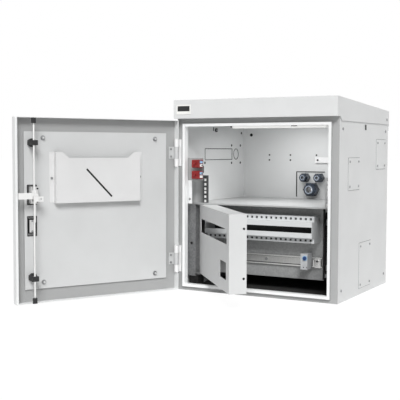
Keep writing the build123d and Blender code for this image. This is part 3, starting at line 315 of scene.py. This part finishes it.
def foam(name, first, second):
    """Cellular rubber or foam: matt, with small open cells."""
    cell = 2.2
    material, tree, shader, place = start_material(name, {"Roughness": 0.9})
    cells = add(tree, "ShaderNodeTexVoronoi", {"Vector": place, "Scale": per_mm(cell)})
    speck = add(tree, "ShaderNodeTexNoise", {"Vector": place, "Scale": per_mm(cell * 4),
                                             "Detail": 6.0})
    ramp = add(tree, "ShaderNodeValToRGB", {"Fac": speck.outputs["Fac"]},
               stops=[(0.4, first), (0.62, second)])
    feed(tree, ramp.outputs["Color"], shader, "Base Color")
    bump = add(tree, "ShaderNodeBump", {"Height": cells.outputs["Distance"], "Strength": 0.5,
                                        "Distance": 0.4 * MM})
    feed(tree, bump.outputs["Normal"], shader, "Normal")
    return material


def pan_level(y):
    """Level of a plane of the shut door along the open door's inside direction."""
    return door_face.dot(door_turn @ Vector((0, y, 0.3)))


# Trays with painted shade: the way they open, the levels of lip and bottom, the bottom's painted
# shade, and whether only the faces that look that way take it.
DOOR_PAN_SHADE = (tuple(door_face), pan_level(-0.2625), pan_level(-0.287), 0.44, True)
BRACKET_STEP_SHADE = (UP, 0.3895, 0.3900, 0.42, False)
# The rim's half width, middle and half height, and the painted shade of the flange outside it.
FRAME_FLANGE_SHADE = (0.2765, 0.30125, 0.2873, 0.46)
# Where the left rack rail's painted shade starts and where it ends, and the top-hat rail's two
# edges.
RACK_RAIL_SHADE_X = (-0.268, -0.222)
TOP_HAT_RAIL_Z = (0.0935, 0.1285)

finish = {
    "body_paint": powder_coat("light_grey_powder_coat", "D8D9D9", "DCDDDD"),
    "frame_paint": powder_coat("light_grey_powder_coat_frame_painted_shade", "EDEEEE", "F0F1F1",
                               flange=FRAME_FLANGE_SHADE),
    "door_paint": powder_coat("light_grey_powder_coat_door_painted_shade", "E6E7E7", "E9EAEA", tray=DOOR_PAN_SHADE),
    "lining_paint": powder_coat("light_grey_powder_coat_lining", "C6C7C7", "CACBCB"),
    "pocket_paint": powder_coat("white_powder_coat_pocket", "D3D3D3", "D7D7D7", grain=1.2),
    "cover_paint": powder_coat("pale_powder_coat_cover", "CBCCCC", "CFD0D0"),
    "shelf_paint": powder_coat("pale_powder_coat_shelf", "AAABAB", "AEAFAF"),
    "tie_paint": powder_coat("white_powder_coat_strip", "EEEEEE", "F1F1F1", grain=1.0),
    "board_zinc": galvanised("galvanised_board", "9B9C9C", "A9AAAA", metallic=0.35),
    "rack_paint": rail_paint_with_painted_shade("rack_rail_paint_with_painted_shade", "C4C5C5", "3A3B3C", RACK_RAIL_SHADE_X),
    "bracket_paint": powder_coat("light_grey_powder_coat_bracket_painted_shade", "E4E5E5", "E8E9E9",
                                 tray=BRACKET_STEP_SHADE),
    "upright_zinc": galvanised("galvanised_uprights", "8C8D8E", "A0A1A2", metallic=0.5),
    "carrier": powder_coat("satin_carrier_paint", "D2D4D5", "D9DBDC", grain=1.0),
    "zinc": zinc_plate("bright_zinc_plate", "C8C8C7", "DDDDDC"),
    "rod_zinc": zinc_plate("bright_zinc_rods", "E6E6E5", "F2F2F1", roughness=0.42),
    "screw_zinc": zinc_plate("dull_zinc_screws", "8E8F90", "A6A7A8", roughness=0.4),
    "rail_zinc": zinc_plate("zinc_plate_rail_painted_shading", "D8D8D6", "ECECEA", roughness=0.36,
                            span=TOP_HAT_RAIL_Z),
    "hinge": powder_coat("painted_zinc_casting", "E4E4E4", "E8E8E8", grain=0.8, edge=0.5),
    # The door's hinge leaves: the hinge's paint a shade darker, as painted shade on the door's
    # inside.
    "leaf": powder_coat("hinge_leaf_paint_with_painted_shade", "BFC0C0", "C5C6C6", grain=0.8, edge=0.5),
    "black_plastic": moulded("black_polyamide", "121314", "1B1C1E"),
    "black_metal": powder_coat("black_powder_coat", "161718", "1D1E20", edge=0.6),
    "mat": foam("black_cellular_rubber", "141414", "272727"),
    "black_rubber": moulded("black_rubber", "0E0E0E", "161616", roughness=0.7),
    "gland": moulded("blue_grey_polyamide", "2B323D", "3E4755", roughness=0.26),
    "grey_rubber": moulded("grey_sealing_rubber", "7E8082", "8A8C8E", roughness=0.7),
    "gland_seal_painted_light": moulded("sealing_rubber_painted_light", "D8DADC", "E4E6E8", roughness=0.5),
    "gland_lip_painted_highlight": moulded("blue_grey_rubber_painted_highlight", "9AA4B2", "AEB8C6", roughness=0.4),
    "hole_light_white": moulded("white_polyamide_painted_light", "F4F4F3", "F8F8F7", roughness=0.4),
    "red": moulded("red_polycarbonate", "7A1414", "8E1918", roughness=0.35),
    "white_plastic": moulded("white_polycarbonate", "E9E9E6", "EFEFEC", roughness=0.35),
    "lamp": moulded("opal_polycarbonate", "F2F2EF", "F6F6F4", roughness=0.3, glow=0.35),
    "control": moulded("grey_polyamide", "B3B5B7", "BDBFC1"),
    "blue": moulded("blue_polyamide", "1E3E72", "2A4C86", roughness=0.35),
    "pale_blue": moulded("pale_blue_polyamide", "8FB6D8", "A4C6E2", roughness=0.35),
}
node_finish = {
    "body_paint": ["left_side_panel", "right_side_panel", "rear_panel", "floor_panel",
                   "roof_panel", "rain_hood", "right_side_covers", "left_side_cover",
                   "gland_plate"],
    "bracket_paint": ["contact_bracket"],
    "frame_paint": ["front_frame"],
    "door_paint": ["door_pan"],
    "lining_paint": ["lining_panel"],
    "pocket_paint": ["document_pocket"],
    "cover_paint": ["inner_cover"],
    "shelf_paint": ["shelf"],
    "tie_paint": ["tie_bar"],
    "board_zinc": ["mounting_board", "board_arms"],
    "rack_paint": ["rack_rails"],
    "upright_zinc": ["cover_posts"],
    "carrier": ["device_carrier", "carrier_ends"],
    "zinc": ["end_clamp", "lock_case", "lock_spindle", "hinge_pins", "cover_pins"],
    "rod_zinc": ["upper_rod", "lower_rod", "lock_cam"],
    "screw_zinc": ["panel_screws", "door_screws", "lining_nuts", "din_screws"],
    "rail_zinc": ["din_rail"],
    "hinge": ["hinge_posts"],
    "leaf": ["door_leaves"],
    "black_plastic": ["upper_rod_tip", "lower_rod_tip", "rod_guides", "cable_clip",
                      "lamp_plug", "lamp_rocker"],
    "black_metal": ["handle_dish", "handle_grip"],
    "mat": ["floor_mat", "foam_block"],
    "black_rubber": ["gland_gasket", "contact_leads"],
    "gland": ["gland_bodies", "gland_caps", "gland_locknuts"],
    "red": ["door_contacts", "upper_contact_button", "lower_contact_button"],
    "lamp": ["lamp_bar"],
    "control": ["temperature_control"],
    "blue": ["control_dial"],
}
for look, names in node_finish.items():
    for name in names:
        nodes[name].data.materials.clear()
        nodes[name].data.materials.append(finish[look])


# Modelling of small pieces

# The record's material slot for each look of a small piece.
SLOTS = {
    "black_plastic": "black_plastic",
    "black_rubber": "black_rubber",
    "grey_rubber": "black_rubber",
    "mat": "rubber_mat",
    "white_plastic": "button_plastic",
    "hole_light_white": "button_plastic",
    "pale_blue": "dial_plastic",
    "gland_seal_painted_light": "gland_plastic",
    "gland_lip_painted_highlight": "gland_plastic",
    "black_metal": "zinc_plated_steel",
    "screw_zinc": "zinc_plated_steel",
    "zinc": "zinc_plated_steel",
}
# A piece's body, and the turn from where it is modelled to where it rides at rest.
CABINET = ("cabinet", Matrix.Identity(4))
DOOR = ("door", door_turn)


def finish_piece(piece, name, look, home=CABINET, slot=None):
    """Puts a piece's place into its mesh, names it, finishes it and hangs it on its body."""
    body, turn = home
    slot = slot or SLOTS[look]
    piece.matrix_world = turn @ piece.matrix_world
    pick(piece)
    bpy.ops.object.transform_apply(location=True, rotation=True, scale=True)
    piece.name = name
    piece.data.name = name
    piece.data.materials.clear()
    piece.data.materials.append(finish[look])
    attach(piece, body)


def block(low, high):
    """A cube primitive, made to fill the space between two corners."""
    deselect()
    centre = [(a + b) / 2 for a, b in zip(low, high)]
    bpy.ops.mesh.primitive_cube_add(size=1, location=centre)
    piece = bpy.context.active_object
    piece.scale = [b - a for a, b in zip(low, high)]
    bpy.ops.object.transform_apply(location=True, rotation=True, scale=True)
    return piece


def disc(radius, height, vertices=32):
    """A cylinder primitive that stands on the origin, its axis along +Z."""
    deselect()
    bpy.ops.mesh.primitive_cylinder_add(vertices=vertices, radius=radius, depth=height,
                                        location=(0, 0, height / 2))
    piece = bpy.context.active_object
    bpy.ops.object.transform_apply(location=True, rotation=True, scale=True)
    return piece


def soften(piece, width):
    """Bevels every sharp edge of a piece and applies it."""
    pick(piece)
    bevel = piece.modifiers.new("edges", "BEVEL")
    bevel.width = width
    bevel.segments = 2
    bevel.limit_method = "ANGLE"
    bpy.ops.object.modifier_apply(modifier=bevel.name)


def facing(axis):
    """Test for the faces that look along an axis."""
    return lambda normal: normal.dot(Vector(axis)) > 0.9


def both_ways(axis):
    """Test for the faces that look along an axis or against it."""
    return lambda normal: abs(normal.dot(Vector(axis))) > 0.9


def enter_edit(piece, wanted):
    """Opens a piece in edit mode with the faces selected whose normal is wanted."""
    pick(piece)
    bpy.ops.object.mode_set(mode="EDIT")
    bpy.ops.mesh.select_mode(type="FACE")
    bpy.ops.mesh.select_all(action="DESELECT")
    mesh = bmesh.from_edit_mesh(piece.data)
    for face in mesh.faces:
        if wanted(face.normal):
            face.select = True
    bmesh.update_edit_mesh(piece.data)


def leave_edit():
    bpy.ops.object.mode_set(mode="OBJECT")


def step(piece, wanted, border, wall, depth):
    """Insets the wanted faces by a border, then raises what is left by a depth, or sinks it."""
    enter_edit(piece, wanted)
    bpy.ops.mesh.inset(thickness=border, depth=0)
    bpy.ops.mesh.inset(thickness=wall, depth=depth)
    leave_edit()


def pierce(piece, axis, bar):
    """Insets both faces across an axis and bridges them, which leaves a frame."""
    enter_edit(piece, both_ways(axis))
    bpy.ops.mesh.inset(thickness=bar, depth=0)
    bpy.ops.mesh.bridge_edge_loops()
    leave_edit()


def tube(outer, inner, height):
    """A disc pierced into a ring."""
    piece = disc(outer, height, 48)
    pierce(piece, UP, outer - inner)
    soften(piece, min(outer - inner, height) * 0.2)
    return piece


def socket_head(radius, height, socket, deep):
    """A round head with a sunk socket, its seat on the origin."""
    piece = disc(radius, height)
    step(piece, facing(UP), radius - socket, socket * 0.12, -deep)
    soften(piece, height * 0.15)
    return piece


def plug(radius, height, neck):
    """A press-in plug: a low dome with a neck that fills its hole."""
    neck_length = 0.001
    piece = disc(radius, height)
    enter_edit(piece, facing(UP))
    bpy.ops.mesh.inset(thickness=radius * 0.35, depth=height * 0.4)
    leave_edit()
    step(piece, facing(DOWN), radius - neck, neck * 0.05, neck_length)
    soften(piece, height * 0.12)
    return piece


def spread(master, name, look, axis, places, home=CABINET):
    """Copies a piece to every place with its +Z along an axis, and joins the copies.

    Each copy has its own mesh."""
    turned = Vector(axis).to_track_quat("Z", "Y").to_matrix().to_4x4()
    copies = []
    for place in places:
        pick(master)
        bpy.ops.object.duplicate(linked=False)
        copy = bpy.context.active_object
        copy.matrix_world = Matrix.Translation(place) @ turned
        bpy.ops.object.transform_apply(location=True, rotation=True, scale=True)
        copies.append(copy)
    pick(master)
    bpy.ops.object.delete()
    pick(copies[0])
    for copy in copies[1:]:
        copy.select_set(True)
    if len(copies) > 1:
        bpy.ops.object.join()
    finish_piece(bpy.context.active_object, name, look, home)


def window_trim(name, low, high, axis, bar, look, home=CABINET):
    """A flat frame round an opening, thin along the axis."""
    piece = block(low, high)
    pierce(piece, axis, bar)
    thickness = min(b - a for a, b in zip(low, high))
    soften(piece, thickness * 0.2)
    finish_piece(piece, name, look, home)


def folded_strip(name, low, high, side, lip, look, home=CABINET):
    """A strip whose one long face is inset and raised, as a rolled stiffening rib."""
    piece = block(low, high)
    step(piece, facing(side), lip, lip * 0.3, lip * 0.2)
    soften(piece, lip * 0.1)
    finish_piece(piece, name, look, home)


# Hood plate: a pressed plate with a raised border and a dark field.
PLATE_LEFT = -0.2915
PLATE_WIDTH = 0.058
PLATE_TOP = 0.6545
PLATE_HEIGHT = 0.0335
PLATE_THICKNESS = 0.0012
PLATE_BORDER = 0.004
PLATE_FOOT = 0.0055
FIELD_DEPTH = 0.0004
FIELD_MARGIN = 0.001
FIELD_DROP = 0.0001


def hood_plate():
    hood_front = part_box("rain_hood")[0].y
    face = hood_front - PLATE_THICKNESS
    low = (PLATE_LEFT, face, PLATE_TOP - PLATE_HEIGHT)
    high = (PLATE_LEFT + PLATE_WIDTH, hood_front, PLATE_TOP)
    plate = block(low, high)
    step(plate, facing(FRONT), PLATE_BORDER, 0.0008, -FIELD_DEPTH)
    soften(plate, 0.0002)
    finish_piece(plate, "hood_plate", "white_plastic", slot="powder_coat")
    inner = PLATE_BORDER + FIELD_MARGIN
    field = block((low[0] + inner, face + FIELD_DROP, low[2] + inner + PLATE_FOOT),
                  (high[0] - inner, face + FIELD_DEPTH, high[2] - inner))
    soften(field, 0.0001)
    finish_piece(field, "hood_plate_field", "black_plastic")


# Rear and left walls: (x, z) of the rear wall's holes and (y, z) of the left wall's.
REAR_FACE = 0.2585
STUD_HOLES = [(-0.183, 0.458), (-0.183, 0.478), (-0.092, 0.458), (-0.092, 0.478), (0.018, 0.478)]
FIXING_HOLES = [(-0.264, 0.045), (-0.264, 0.558), (0.264, 0.045), (0.264, 0.558)]
LEFT_FACE = -0.2985
LEFT_HOLES = [(0.1495, 0.4465), (0.1495, 0.5155), (0.2265, 0.4465), (0.2265, 0.5155),
              (-0.068, 0.449), (0.2353, 0.5652)]
LEFT_WINDOW = (-0.068, 0.459, 0.155, 0.503)
LEFT_ROUND_HOLE = (0.188, 0.481)
EDGING_THICKNESS = 0.0009
EDGING_BAR = 0.0022
RING_RADII = (0.0219, 0.0196)


def wall_fittings():
    """Plugs in the open holes, and rubber edging round the window and round hole, as painted
    shade.
    """
    spread(plug(0.0034, 0.0009, 0.0024), "stud_hole_shade_plugs", "black_plastic", FRONT,
           [(x, REAR_FACE, z) for x, z in STUD_HOLES])
    spread(plug(0.0062, 0.0014, 0.0047), "wall_fixing_shade_plugs", "black_plastic", FRONT,
           [(x, REAR_FACE, z) for x, z in FIXING_HOLES])
    spread(plug(0.0046, 0.0012, 0.0033), "left_wall_shade_plugs", "black_plastic", RIGHT,
           [(LEFT_FACE, y, z) for y, z in LEFT_HOLES])
    y0, z0, y1, z1 = LEFT_WINDOW
    window_trim("left_window_shade_edging", (LEFT_FACE, y0, z0), (LEFT_FACE + EDGING_THICKNESS, y1, z1),
                RIGHT, EDGING_BAR, "black_rubber")
    spread(tube(*RING_RADII, EDGING_THICKNESS), "left_hole_shade_edging", "black_rubber", RIGHT,
           [(LEFT_FACE, *LEFT_ROUND_HOLE)])


# Side walls: y0, y1, z0 and z1 of the right wall's cover plates, and the lifting slots' plugs.
WALL_OUTSIDE = 0.3
COVER_PLATES = {
    "upper_front": (-0.172, -0.061, 0.365, 0.472),
    "upper_rear": (0.122, 0.230, 0.430, 0.536),
    "lower": (-0.053, 0.070, 0.022, 0.179),
}
GASKET_SHOWS = 0.0014
GASKET_THICKNESS = 0.0006
SLOT_PLUG_LOW = (-0.007, 0.5675)
SLOT_PLUG_HIGH = (0.007, 0.5855)
SLOT_PLUG_FLANGE = 0.0012
SLOT_PLUG_BORDER = 0.0036
SLOT_PLUG_NECK = 0.002


def side_fittings():
    """A rubber gasket that shows round each cover plate, and a plug in each lifting slot."""
    for name, (y0, y1, z0, z1) in COVER_PLATES.items():
        window_trim(f"cover_gasket_{name}", (WALL_OUTSIDE, y0 - GASKET_SHOWS, z0 - GASKET_SHOWS),
                    (WALL_OUTSIDE + GASKET_THICKNESS, y1 + GASKET_SHOWS, z1 + GASKET_SHOWS),
                    RIGHT, GASKET_SHOWS, "grey_rubber")
    for name, side in (("right", 1), ("left", -1)):
        x0, x1 = sorted((side * WALL_OUTSIDE, side * (WALL_OUTSIDE + SLOT_PLUG_FLANGE)))
        cap = block((x0, *SLOT_PLUG_LOW), (x1, *SLOT_PLUG_HIGH))
        step(cap, facing((-side, 0, 0)), SLOT_PLUG_BORDER, 0.0001, SLOT_PLUG_NECK)
        soften(cap, 0.0003)
        finish_piece(cap, f"lifting_slot_plug_{name}", "black_plastic")


# Device carrier: levels along Y, and the rows of square holes.
BAND_FACE = -0.166
HOLE_SHADE_Y = (-0.1642, -0.1627)
SLOT_SHADE_Y = (-0.1118, -0.1102)
SHADE_STRIP_END = 0.001
HOLE_SHADE_HALF = 0.0078
SLOT_SHADE_HALF = 0.034
HOLE_ROW = 0.0365
HOLE_END = 0.0107
HOLE_PITCH = 0.0184
HOLE_COUNT = 22
HOLE_FRAME_HALF = 0.0036
HOLE_FRAME_BAR = 0.0008
HOLE_FRAME_THICKNESS = 0.0005


def carrier_fittings():
    """Painted shade: black strips behind the holes, a film behind the slot; a frame round each
    hole.
    """
    low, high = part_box("device_carrier")
    middle = (low.z + high.z) / 2
    x0, x1 = low.x + SHADE_STRIP_END, high.x - SHADE_STRIP_END
    # Black strips and film as painted shade, seen through the carrier's holes and slot.
    for name, row in (("upper", middle + HOLE_ROW), ("lower", middle - HOLE_ROW)):
        folded_strip(f"carrier_hole_shade_{name}", (x0, HOLE_SHADE_Y[0], row - HOLE_SHADE_HALF),
                     (x1, HOLE_SHADE_Y[1], row + HOLE_SHADE_HALF), FRONT, 0.0012, "black_plastic")
    folded_strip("carrier_slot_shade", (x0, SLOT_SHADE_Y[0], middle - SLOT_SHADE_HALF),
                 (x1, SLOT_SHADE_Y[1], middle + SLOT_SHADE_HALF), FRONT, 0.0015, "black_plastic")
    half = HOLE_FRAME_HALF
    hole_frame = block((-half, -half, 0), (half, half, HOLE_FRAME_THICKNESS))
    pierce(hole_frame, UP, HOLE_FRAME_BAR)
    spread(hole_frame, "carrier_hole_frames", "black_plastic", FRONT,
           [(high.x - HOLE_END - index * HOLE_PITCH, BAND_FACE, middle + side * HOLE_ROW)
            for side in (-1, 1) for index in range(HOLE_COUNT)])


# Door contacts: two terminals on the right side of each block.
CONTACT_BASES = (("lower", 0.396), ("upper", 0.435))
TERMINAL_Y = (-0.268, -0.258)
TERMINAL_RISE = 0.004
TERMINAL_PITCH = 0.0115
TERMINAL_HEIGHT = 0.0085
TERMINAL_REACH = 0.006


def contact_terminals():
    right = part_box("door_contacts")[1].x
    for name, base in CONTACT_BASES:
        for index, look in enumerate(("white_plastic", "pale_blue")):
            z = base + TERMINAL_RISE + index * TERMINAL_PITCH
            piece = block((right, TERMINAL_Y[0], z),
                          (right + TERMINAL_REACH, TERMINAL_Y[1], z + TERMINAL_HEIGHT))
            step(piece, facing(RIGHT), 0.0016, 0.0004, -0.0012)
            soften(piece, 0.0004)
            finish_piece(piece, f"contact_terminal_{name}_{index}", look)


# Cable glands: name, x and z of the axis, bore radius, y of the nose and width of its lip.
GLANDS = [("left", -0.026, 0.39, 0.0065, 0.223, 0.0028),
          ("right", 0.033, 0.39, 0.0065, 0.223, 0.0028),
          ("low", 0.003, 0.344, 0.0125, 0.218, 0.0034)]
GLAND_BACK = 0.262
SEAL_GAP = 0.0001
SEAL_WALL = 0.0008
SEAL_LENGTH = 0.026
LIP_THICKNESS = 0.0012


def gland_seals():
    """A sealing ring deep in each bore and its rolled lip round the nose, pale as painted light.
    """
    # The seal is real; its pale tone is painted light, the light seen through the bore.
    for name, x, z, bore, _, _ in GLANDS:
        outer = bore - SEAL_GAP
        spread(tube(outer, outer - SEAL_WALL, SEAL_LENGTH), f"gland_seal_painted_light_{name}", "gland_seal_painted_light",
               FRONT, [(x, GLAND_BACK, z)])
    # The rolled lip is real; its pale tone is partly a painted highlight on the cap's rim.
    for name, x, z, bore, nose, width in GLANDS:
        spread(tube(bore + width, bore, LIP_THICKNESS), f"gland_lip_painted_highlight_{name}", "gland_lip_painted_highlight",
               FRONT, [(x, nose, z)])


# Left rack rail: the holes of each 44.45 mm unit.
FIRST_UNIT = 0.3075
RACK_UNIT = 0.04445
UNIT_HOLES = (0.00635, 0.02225, 0.0381)
# Pale inserts behind the holes, as painted light of the lit wall seen through them.
HOLE_LIGHT_X = (-0.2385, -0.2265)
HOLE_LIGHT_Y = (-0.1814, -0.1794)
HOLE_LIGHT_HALF = 0.0062


def strips_and_inserts():
    """Painted shade: strips by hinges and board. Painted light: a pale insert behind each rail
    hole.
    """
    # Dark strips as painted shade: the gap beside the hinges and the dark gap right of the board.
    folded_strip("hinge_gap_shade_strip", (-0.2998, -0.2607, 0.168), (-0.2972, -0.26, 0.43),
                 FRONT, 0.0005, "black_rubber")
    folded_strip("board_gap_shade_foam", (0.1975, -0.1062, 0.052), (0.2235, -0.1015, 0.2995),
                 FRONT, 0.003, "mat")
    folded_strip("board_gap_shade_trim", (0.1915, -0.1121, 0.052), (0.1974, -0.1102, 0.2995),
                 FRONT, 0.0008, "black_rubber")
    # Pale inserts as painted light: the lit wall seen through the rail's holes.
    for index in range(6):
        unit, hole = divmod(index, 3)
        z = FIRST_UNIT + unit * RACK_UNIT + UNIT_HOLES[hole]
        hole_light = block((HOLE_LIGHT_X[0], HOLE_LIGHT_Y[0], z - HOLE_LIGHT_HALF),
                       (HOLE_LIGHT_X[1], HOLE_LIGHT_Y[1], z + HOLE_LIGHT_HALF))
        step(hole_light, facing(FRONT), 0.0016, 0.0003, 0.0006)
        soften(hole_light, 0.0003)
        finish_piece(hole_light, f"rail_hole_light_{index}", "hole_light_white")


# Screw heads: radius, height, socket radius and socket depth.
M4_HEAD = (0.0036, 0.0018, 0.0018, 0.001)
TERMINAL_HEAD = (0.0021, 0.0016, 0.0011, 0.0008)
PLATE_HEAD = (0.0032, 0.0018, 0.0017, 0.001)
CASE_HEAD = (0.003, 0.0015, 0.0016, 0.0009)
TIE_SCREW_INSET = 0.011
CLAMP_BOSS_RISE = 0.005
CLAMP_BOSS_HEIGHT = 0.009
SCALE_RING = (0.0092, 0.0068, 0.0006)


def small_screws():
    """Screws on the tie bar, the end clamp and the control, and the ring round its dial."""
    low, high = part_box("tie_bar")
    z = (low.z + high.z) / 2
    spread(socket_head(*M4_HEAD), "tie_bar_screws", "black_metal", FRONT,
           [(low.x + TIE_SCREW_INSET, low.y, z), (high.x - TIE_SCREW_INSET, low.y, z)])
    control_low, control_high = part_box("temperature_control")
    spread(socket_head(*TERMINAL_HEAD), "control_terminal_screws", "black_metal", FRONT,
           [(control_low.x + x, control_low.y + 0.0058, control_low.z + 0.0075)
            for x in (0.0115, 0.022)])
    low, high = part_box("end_clamp")
    boss = ((low.x + high.x) / 2, high.y - CLAMP_BOSS_HEIGHT,
            (low.z + high.z) / 2 + CLAMP_BOSS_RISE)
    spread(socket_head(*M4_HEAD), "end_clamp_screw", "black_metal", FRONT, [boss])
    dial = (control_low.x + 0.016, control_low.y, control_high.z - 0.0147)
    spread(tube(*SCALE_RING), "control_scale_ring", "pale_blue", FRONT, [dial])


# Document pocket: its slanting slot, in the shut door's place.
SLOT_MIDDLE = (0.007, 0, 0.38675)
SLOT_SLOPE = math.radians(45.46)
SLOT_STRIP_LENGTH = 0.1366
SLOT_STRIP_WIDTH = 0.0105
SLOT_STRIP_THICKNESS = 0.0008
POCKET_FACE_BACK = -0.2635


def pocket_slot_shade_strip():
    """A black strip behind the slot, as painted shade in the slot."""
    turn = door_turn @ Matrix.Translation(SLOT_MIDDLE) @ Matrix.Rotation(-SLOT_SLOPE, 4, "Y")
    half_length, half_width = SLOT_STRIP_LENGTH / 2, SLOT_STRIP_WIDTH / 2
    folded_strip("pocket_slot_shade_strip",
                 (-half_length, POCKET_FACE_BACK - SLOT_STRIP_THICKNESS, -half_width),
                 (half_length, POCKET_FACE_BACK, half_width), FRONT, 0.0012, "black_plastic",
                 ("door", turn))


# Lock: places in the shut door, where its two cut-outs are.
LOCK_X = 0.237
LINING_FACE = -0.2825
CUT_OUTS = (("upper", 0.352), ("lower", 0.251))
SURROUND_HALF_WIDTH = 0.0165
SURROUND_HALF_HEIGHT = 0.0325
SURROUND_THICKNESS = 0.0014
SURROUND_BAR = 0.003
CLAMP_PLATE_Y = (-0.2813, -0.2795)
CLAMP_PLATE_Z = (0.231, 0.271)
CLAMP_PLATE_HALF = 0.0095
CLAMP_SCREWS_Z = (0.2345, 0.2675)
CASE_FACE = -0.254
CASE_SCREW_SHIFT = 0.008
CASE_SCREWS_Z = (0.331, 0.373)


def lock_details():
    """Black surrounds of the two cut-outs, and the fittings inside them."""
    for name, z in CUT_OUTS:
        low = (LOCK_X - SURROUND_HALF_WIDTH, LINING_FACE, z - SURROUND_HALF_HEIGHT)
        high = (LOCK_X + SURROUND_HALF_WIDTH, LINING_FACE + SURROUND_THICKNESS,
                z + SURROUND_HALF_HEIGHT)
        window_trim(f"lock_surround_{name}", low, high, REAR, SURROUND_BAR, "black_plastic", DOOR)
    plate = block((LOCK_X - CLAMP_PLATE_HALF, CLAMP_PLATE_Y[0], CLAMP_PLATE_Z[0]),
                  (LOCK_X + CLAMP_PLATE_HALF, CLAMP_PLATE_Y[1], CLAMP_PLATE_Z[1]))
    step(plate, facing(REAR), 0.005, 0.0006, -0.001)
    soften(plate, 0.0003)
    finish_piece(plate, "handle_clamp_plate", "zinc", DOOR)
    spread(socket_head(*PLATE_HEAD), "handle_clamp_screws", "screw_zinc", REAR,
           [(LOCK_X, CLAMP_PLATE_Y[1], z) for z in CLAMP_SCREWS_Z], DOOR)
    spread(socket_head(*CASE_HEAD), "lock_case_screws", "black_metal", REAR,
           [(LOCK_X - CASE_SCREW_SHIFT, CASE_FACE, z) for z in CASE_SCREWS_Z], DOOR)


# Studio

WORLD_LIGHT = 0.22
FLOOR_SIZE = 60
FLOOR_DROP = 0.0005
FLOOR_GLOW_SHARE = 0.88
FLOOR_GLOW = 1.06


def light(name, kind, energy, place, target, **settings):
    """A lamp at a place, aimed at a target."""
    lamp = bpy.data.lights.new(name, kind)
    lamp.energy = energy
    for key, value in settings.items():
        setattr(lamp, key, value)
    holder = bpy.data.objects.new(name, lamp)
    bpy.context.scene.collection.objects.link(holder)
    holder.location = place
    holder.rotation_euler = (Vector(target) - Vector(place)).to_track_quat("-Z", "Y").to_euler()


def lights():
    """A high, broad light that leaves the rear wall in shade, and the lamp bar's glow."""
    light("front_light", "SUN", 3.0, (1.62, -2.80, 2.87), (0, -0.2, 0.3),
          angle=math.radians(26))
    light("lamp_glow", "AREA", 1.05, (0.02, -0.02, 0.566), (0.02, 0.02, 0.3), size=0.3)


def seen_by(tree, *rays):
    """1 where one of the named kinds of ray arrives, otherwise 0."""
    path = add(tree, "ShaderNodeLightPath")
    seen = path.outputs[rays[0]]
    for ray in rays[1:]:
        seen = add(tree, "ShaderNodeMath", {0: seen, 1: path.outputs[ray]},
                   operation="MAXIMUM").outputs["Value"]
    return seen


def white_room():
    """World: even light on the object, pure white where the camera or a reflection sees it."""
    world = bpy.data.worlds.new("studio_white")
    bpy.context.scene.world = world
    world.use_nodes = True
    tree = world.node_tree
    tree.nodes.clear()
    seen = seen_by(tree, "Is Camera Ray", "Is Glossy Ray", "Is Transmission Ray")
    strength = add(tree, "ShaderNodeMapRange", {"Value": seen, "To Min": WORLD_LIGHT,
                                                "To Max": 1.0})
    back = add(tree, "ShaderNodeBackground", {"Color": (1, 1, 1, 1),
                                              "Strength": strength.outputs["Result"]})
    add(tree, "ShaderNodeOutputWorld", {"Surface": back.outputs["Background"]})


def pale_floor():
    """Large pale floor under the cabinet that keeps a faint shadow."""
    deselect()
    bpy.ops.mesh.primitive_plane_add(size=FLOOR_SIZE, location=(0, 0, cad_box[0][2] - FLOOR_DROP))
    floor = bpy.context.active_object
    floor.name = "studio_floor"
    material = bpy.data.materials.new("pale_studio_floor")
    material.use_nodes = True
    tree = material.node_tree
    tree.nodes.clear()
    seen = seen_by(tree, "Is Camera Ray", "Is Glossy Ray")
    share = add(tree, "ShaderNodeMath", {0: seen, 1: FLOOR_GLOW_SHARE}, operation="MULTIPLY")
    matt = add(tree, "ShaderNodeBsdfDiffuse", {"Color": colour("F2F2F2")})
    glow = add(tree, "ShaderNodeEmission", {"Color": (1, 1, 1, 1), "Strength": FLOOR_GLOW})
    mix = add(tree, "ShaderNodeMixShader", {"Fac": share.outputs["Value"],
                                            1: matt.outputs["BSDF"],
                                            2: glow.outputs["Emission"]})
    add(tree, "ShaderNodeOutputMaterial", {"Surface": mix.outputs["Shader"]})
    floor.data.materials.append(material)


def camera():
    """Long lens at the photograph's place and angle."""
    lens = bpy.data.cameras.new("camera")
    lens.lens = LENS_MM
    lens.sensor_width = SENSOR_MM
    holder = bpy.data.objects.new("camera", lens)
    bpy.context.scene.collection.objects.link(holder)
    turn = (Matrix.Rotation(CAMERA_AZIMUTH, 4, "Z")
            @ Matrix.Rotation(math.pi / 2 - CAMERA_PITCH, 4, "X")
            @ Matrix.Rotation(CAMERA_ROLL, 4, "Z"))
    holder.matrix_world = Matrix.Translation(CAMERA_PLACE) @ turn
    bpy.context.scene.camera = holder


hood_plate()
wall_fittings()
side_fittings()
carrier_fittings()
contact_terminals()
gland_seals()
strips_and_inserts()
small_screws()
pocket_slot_shade_strip()
lock_details()
lights()
white_room()
pale_floor()
camera()
bpy.context.scene.view_settings.view_transform = "Standard"
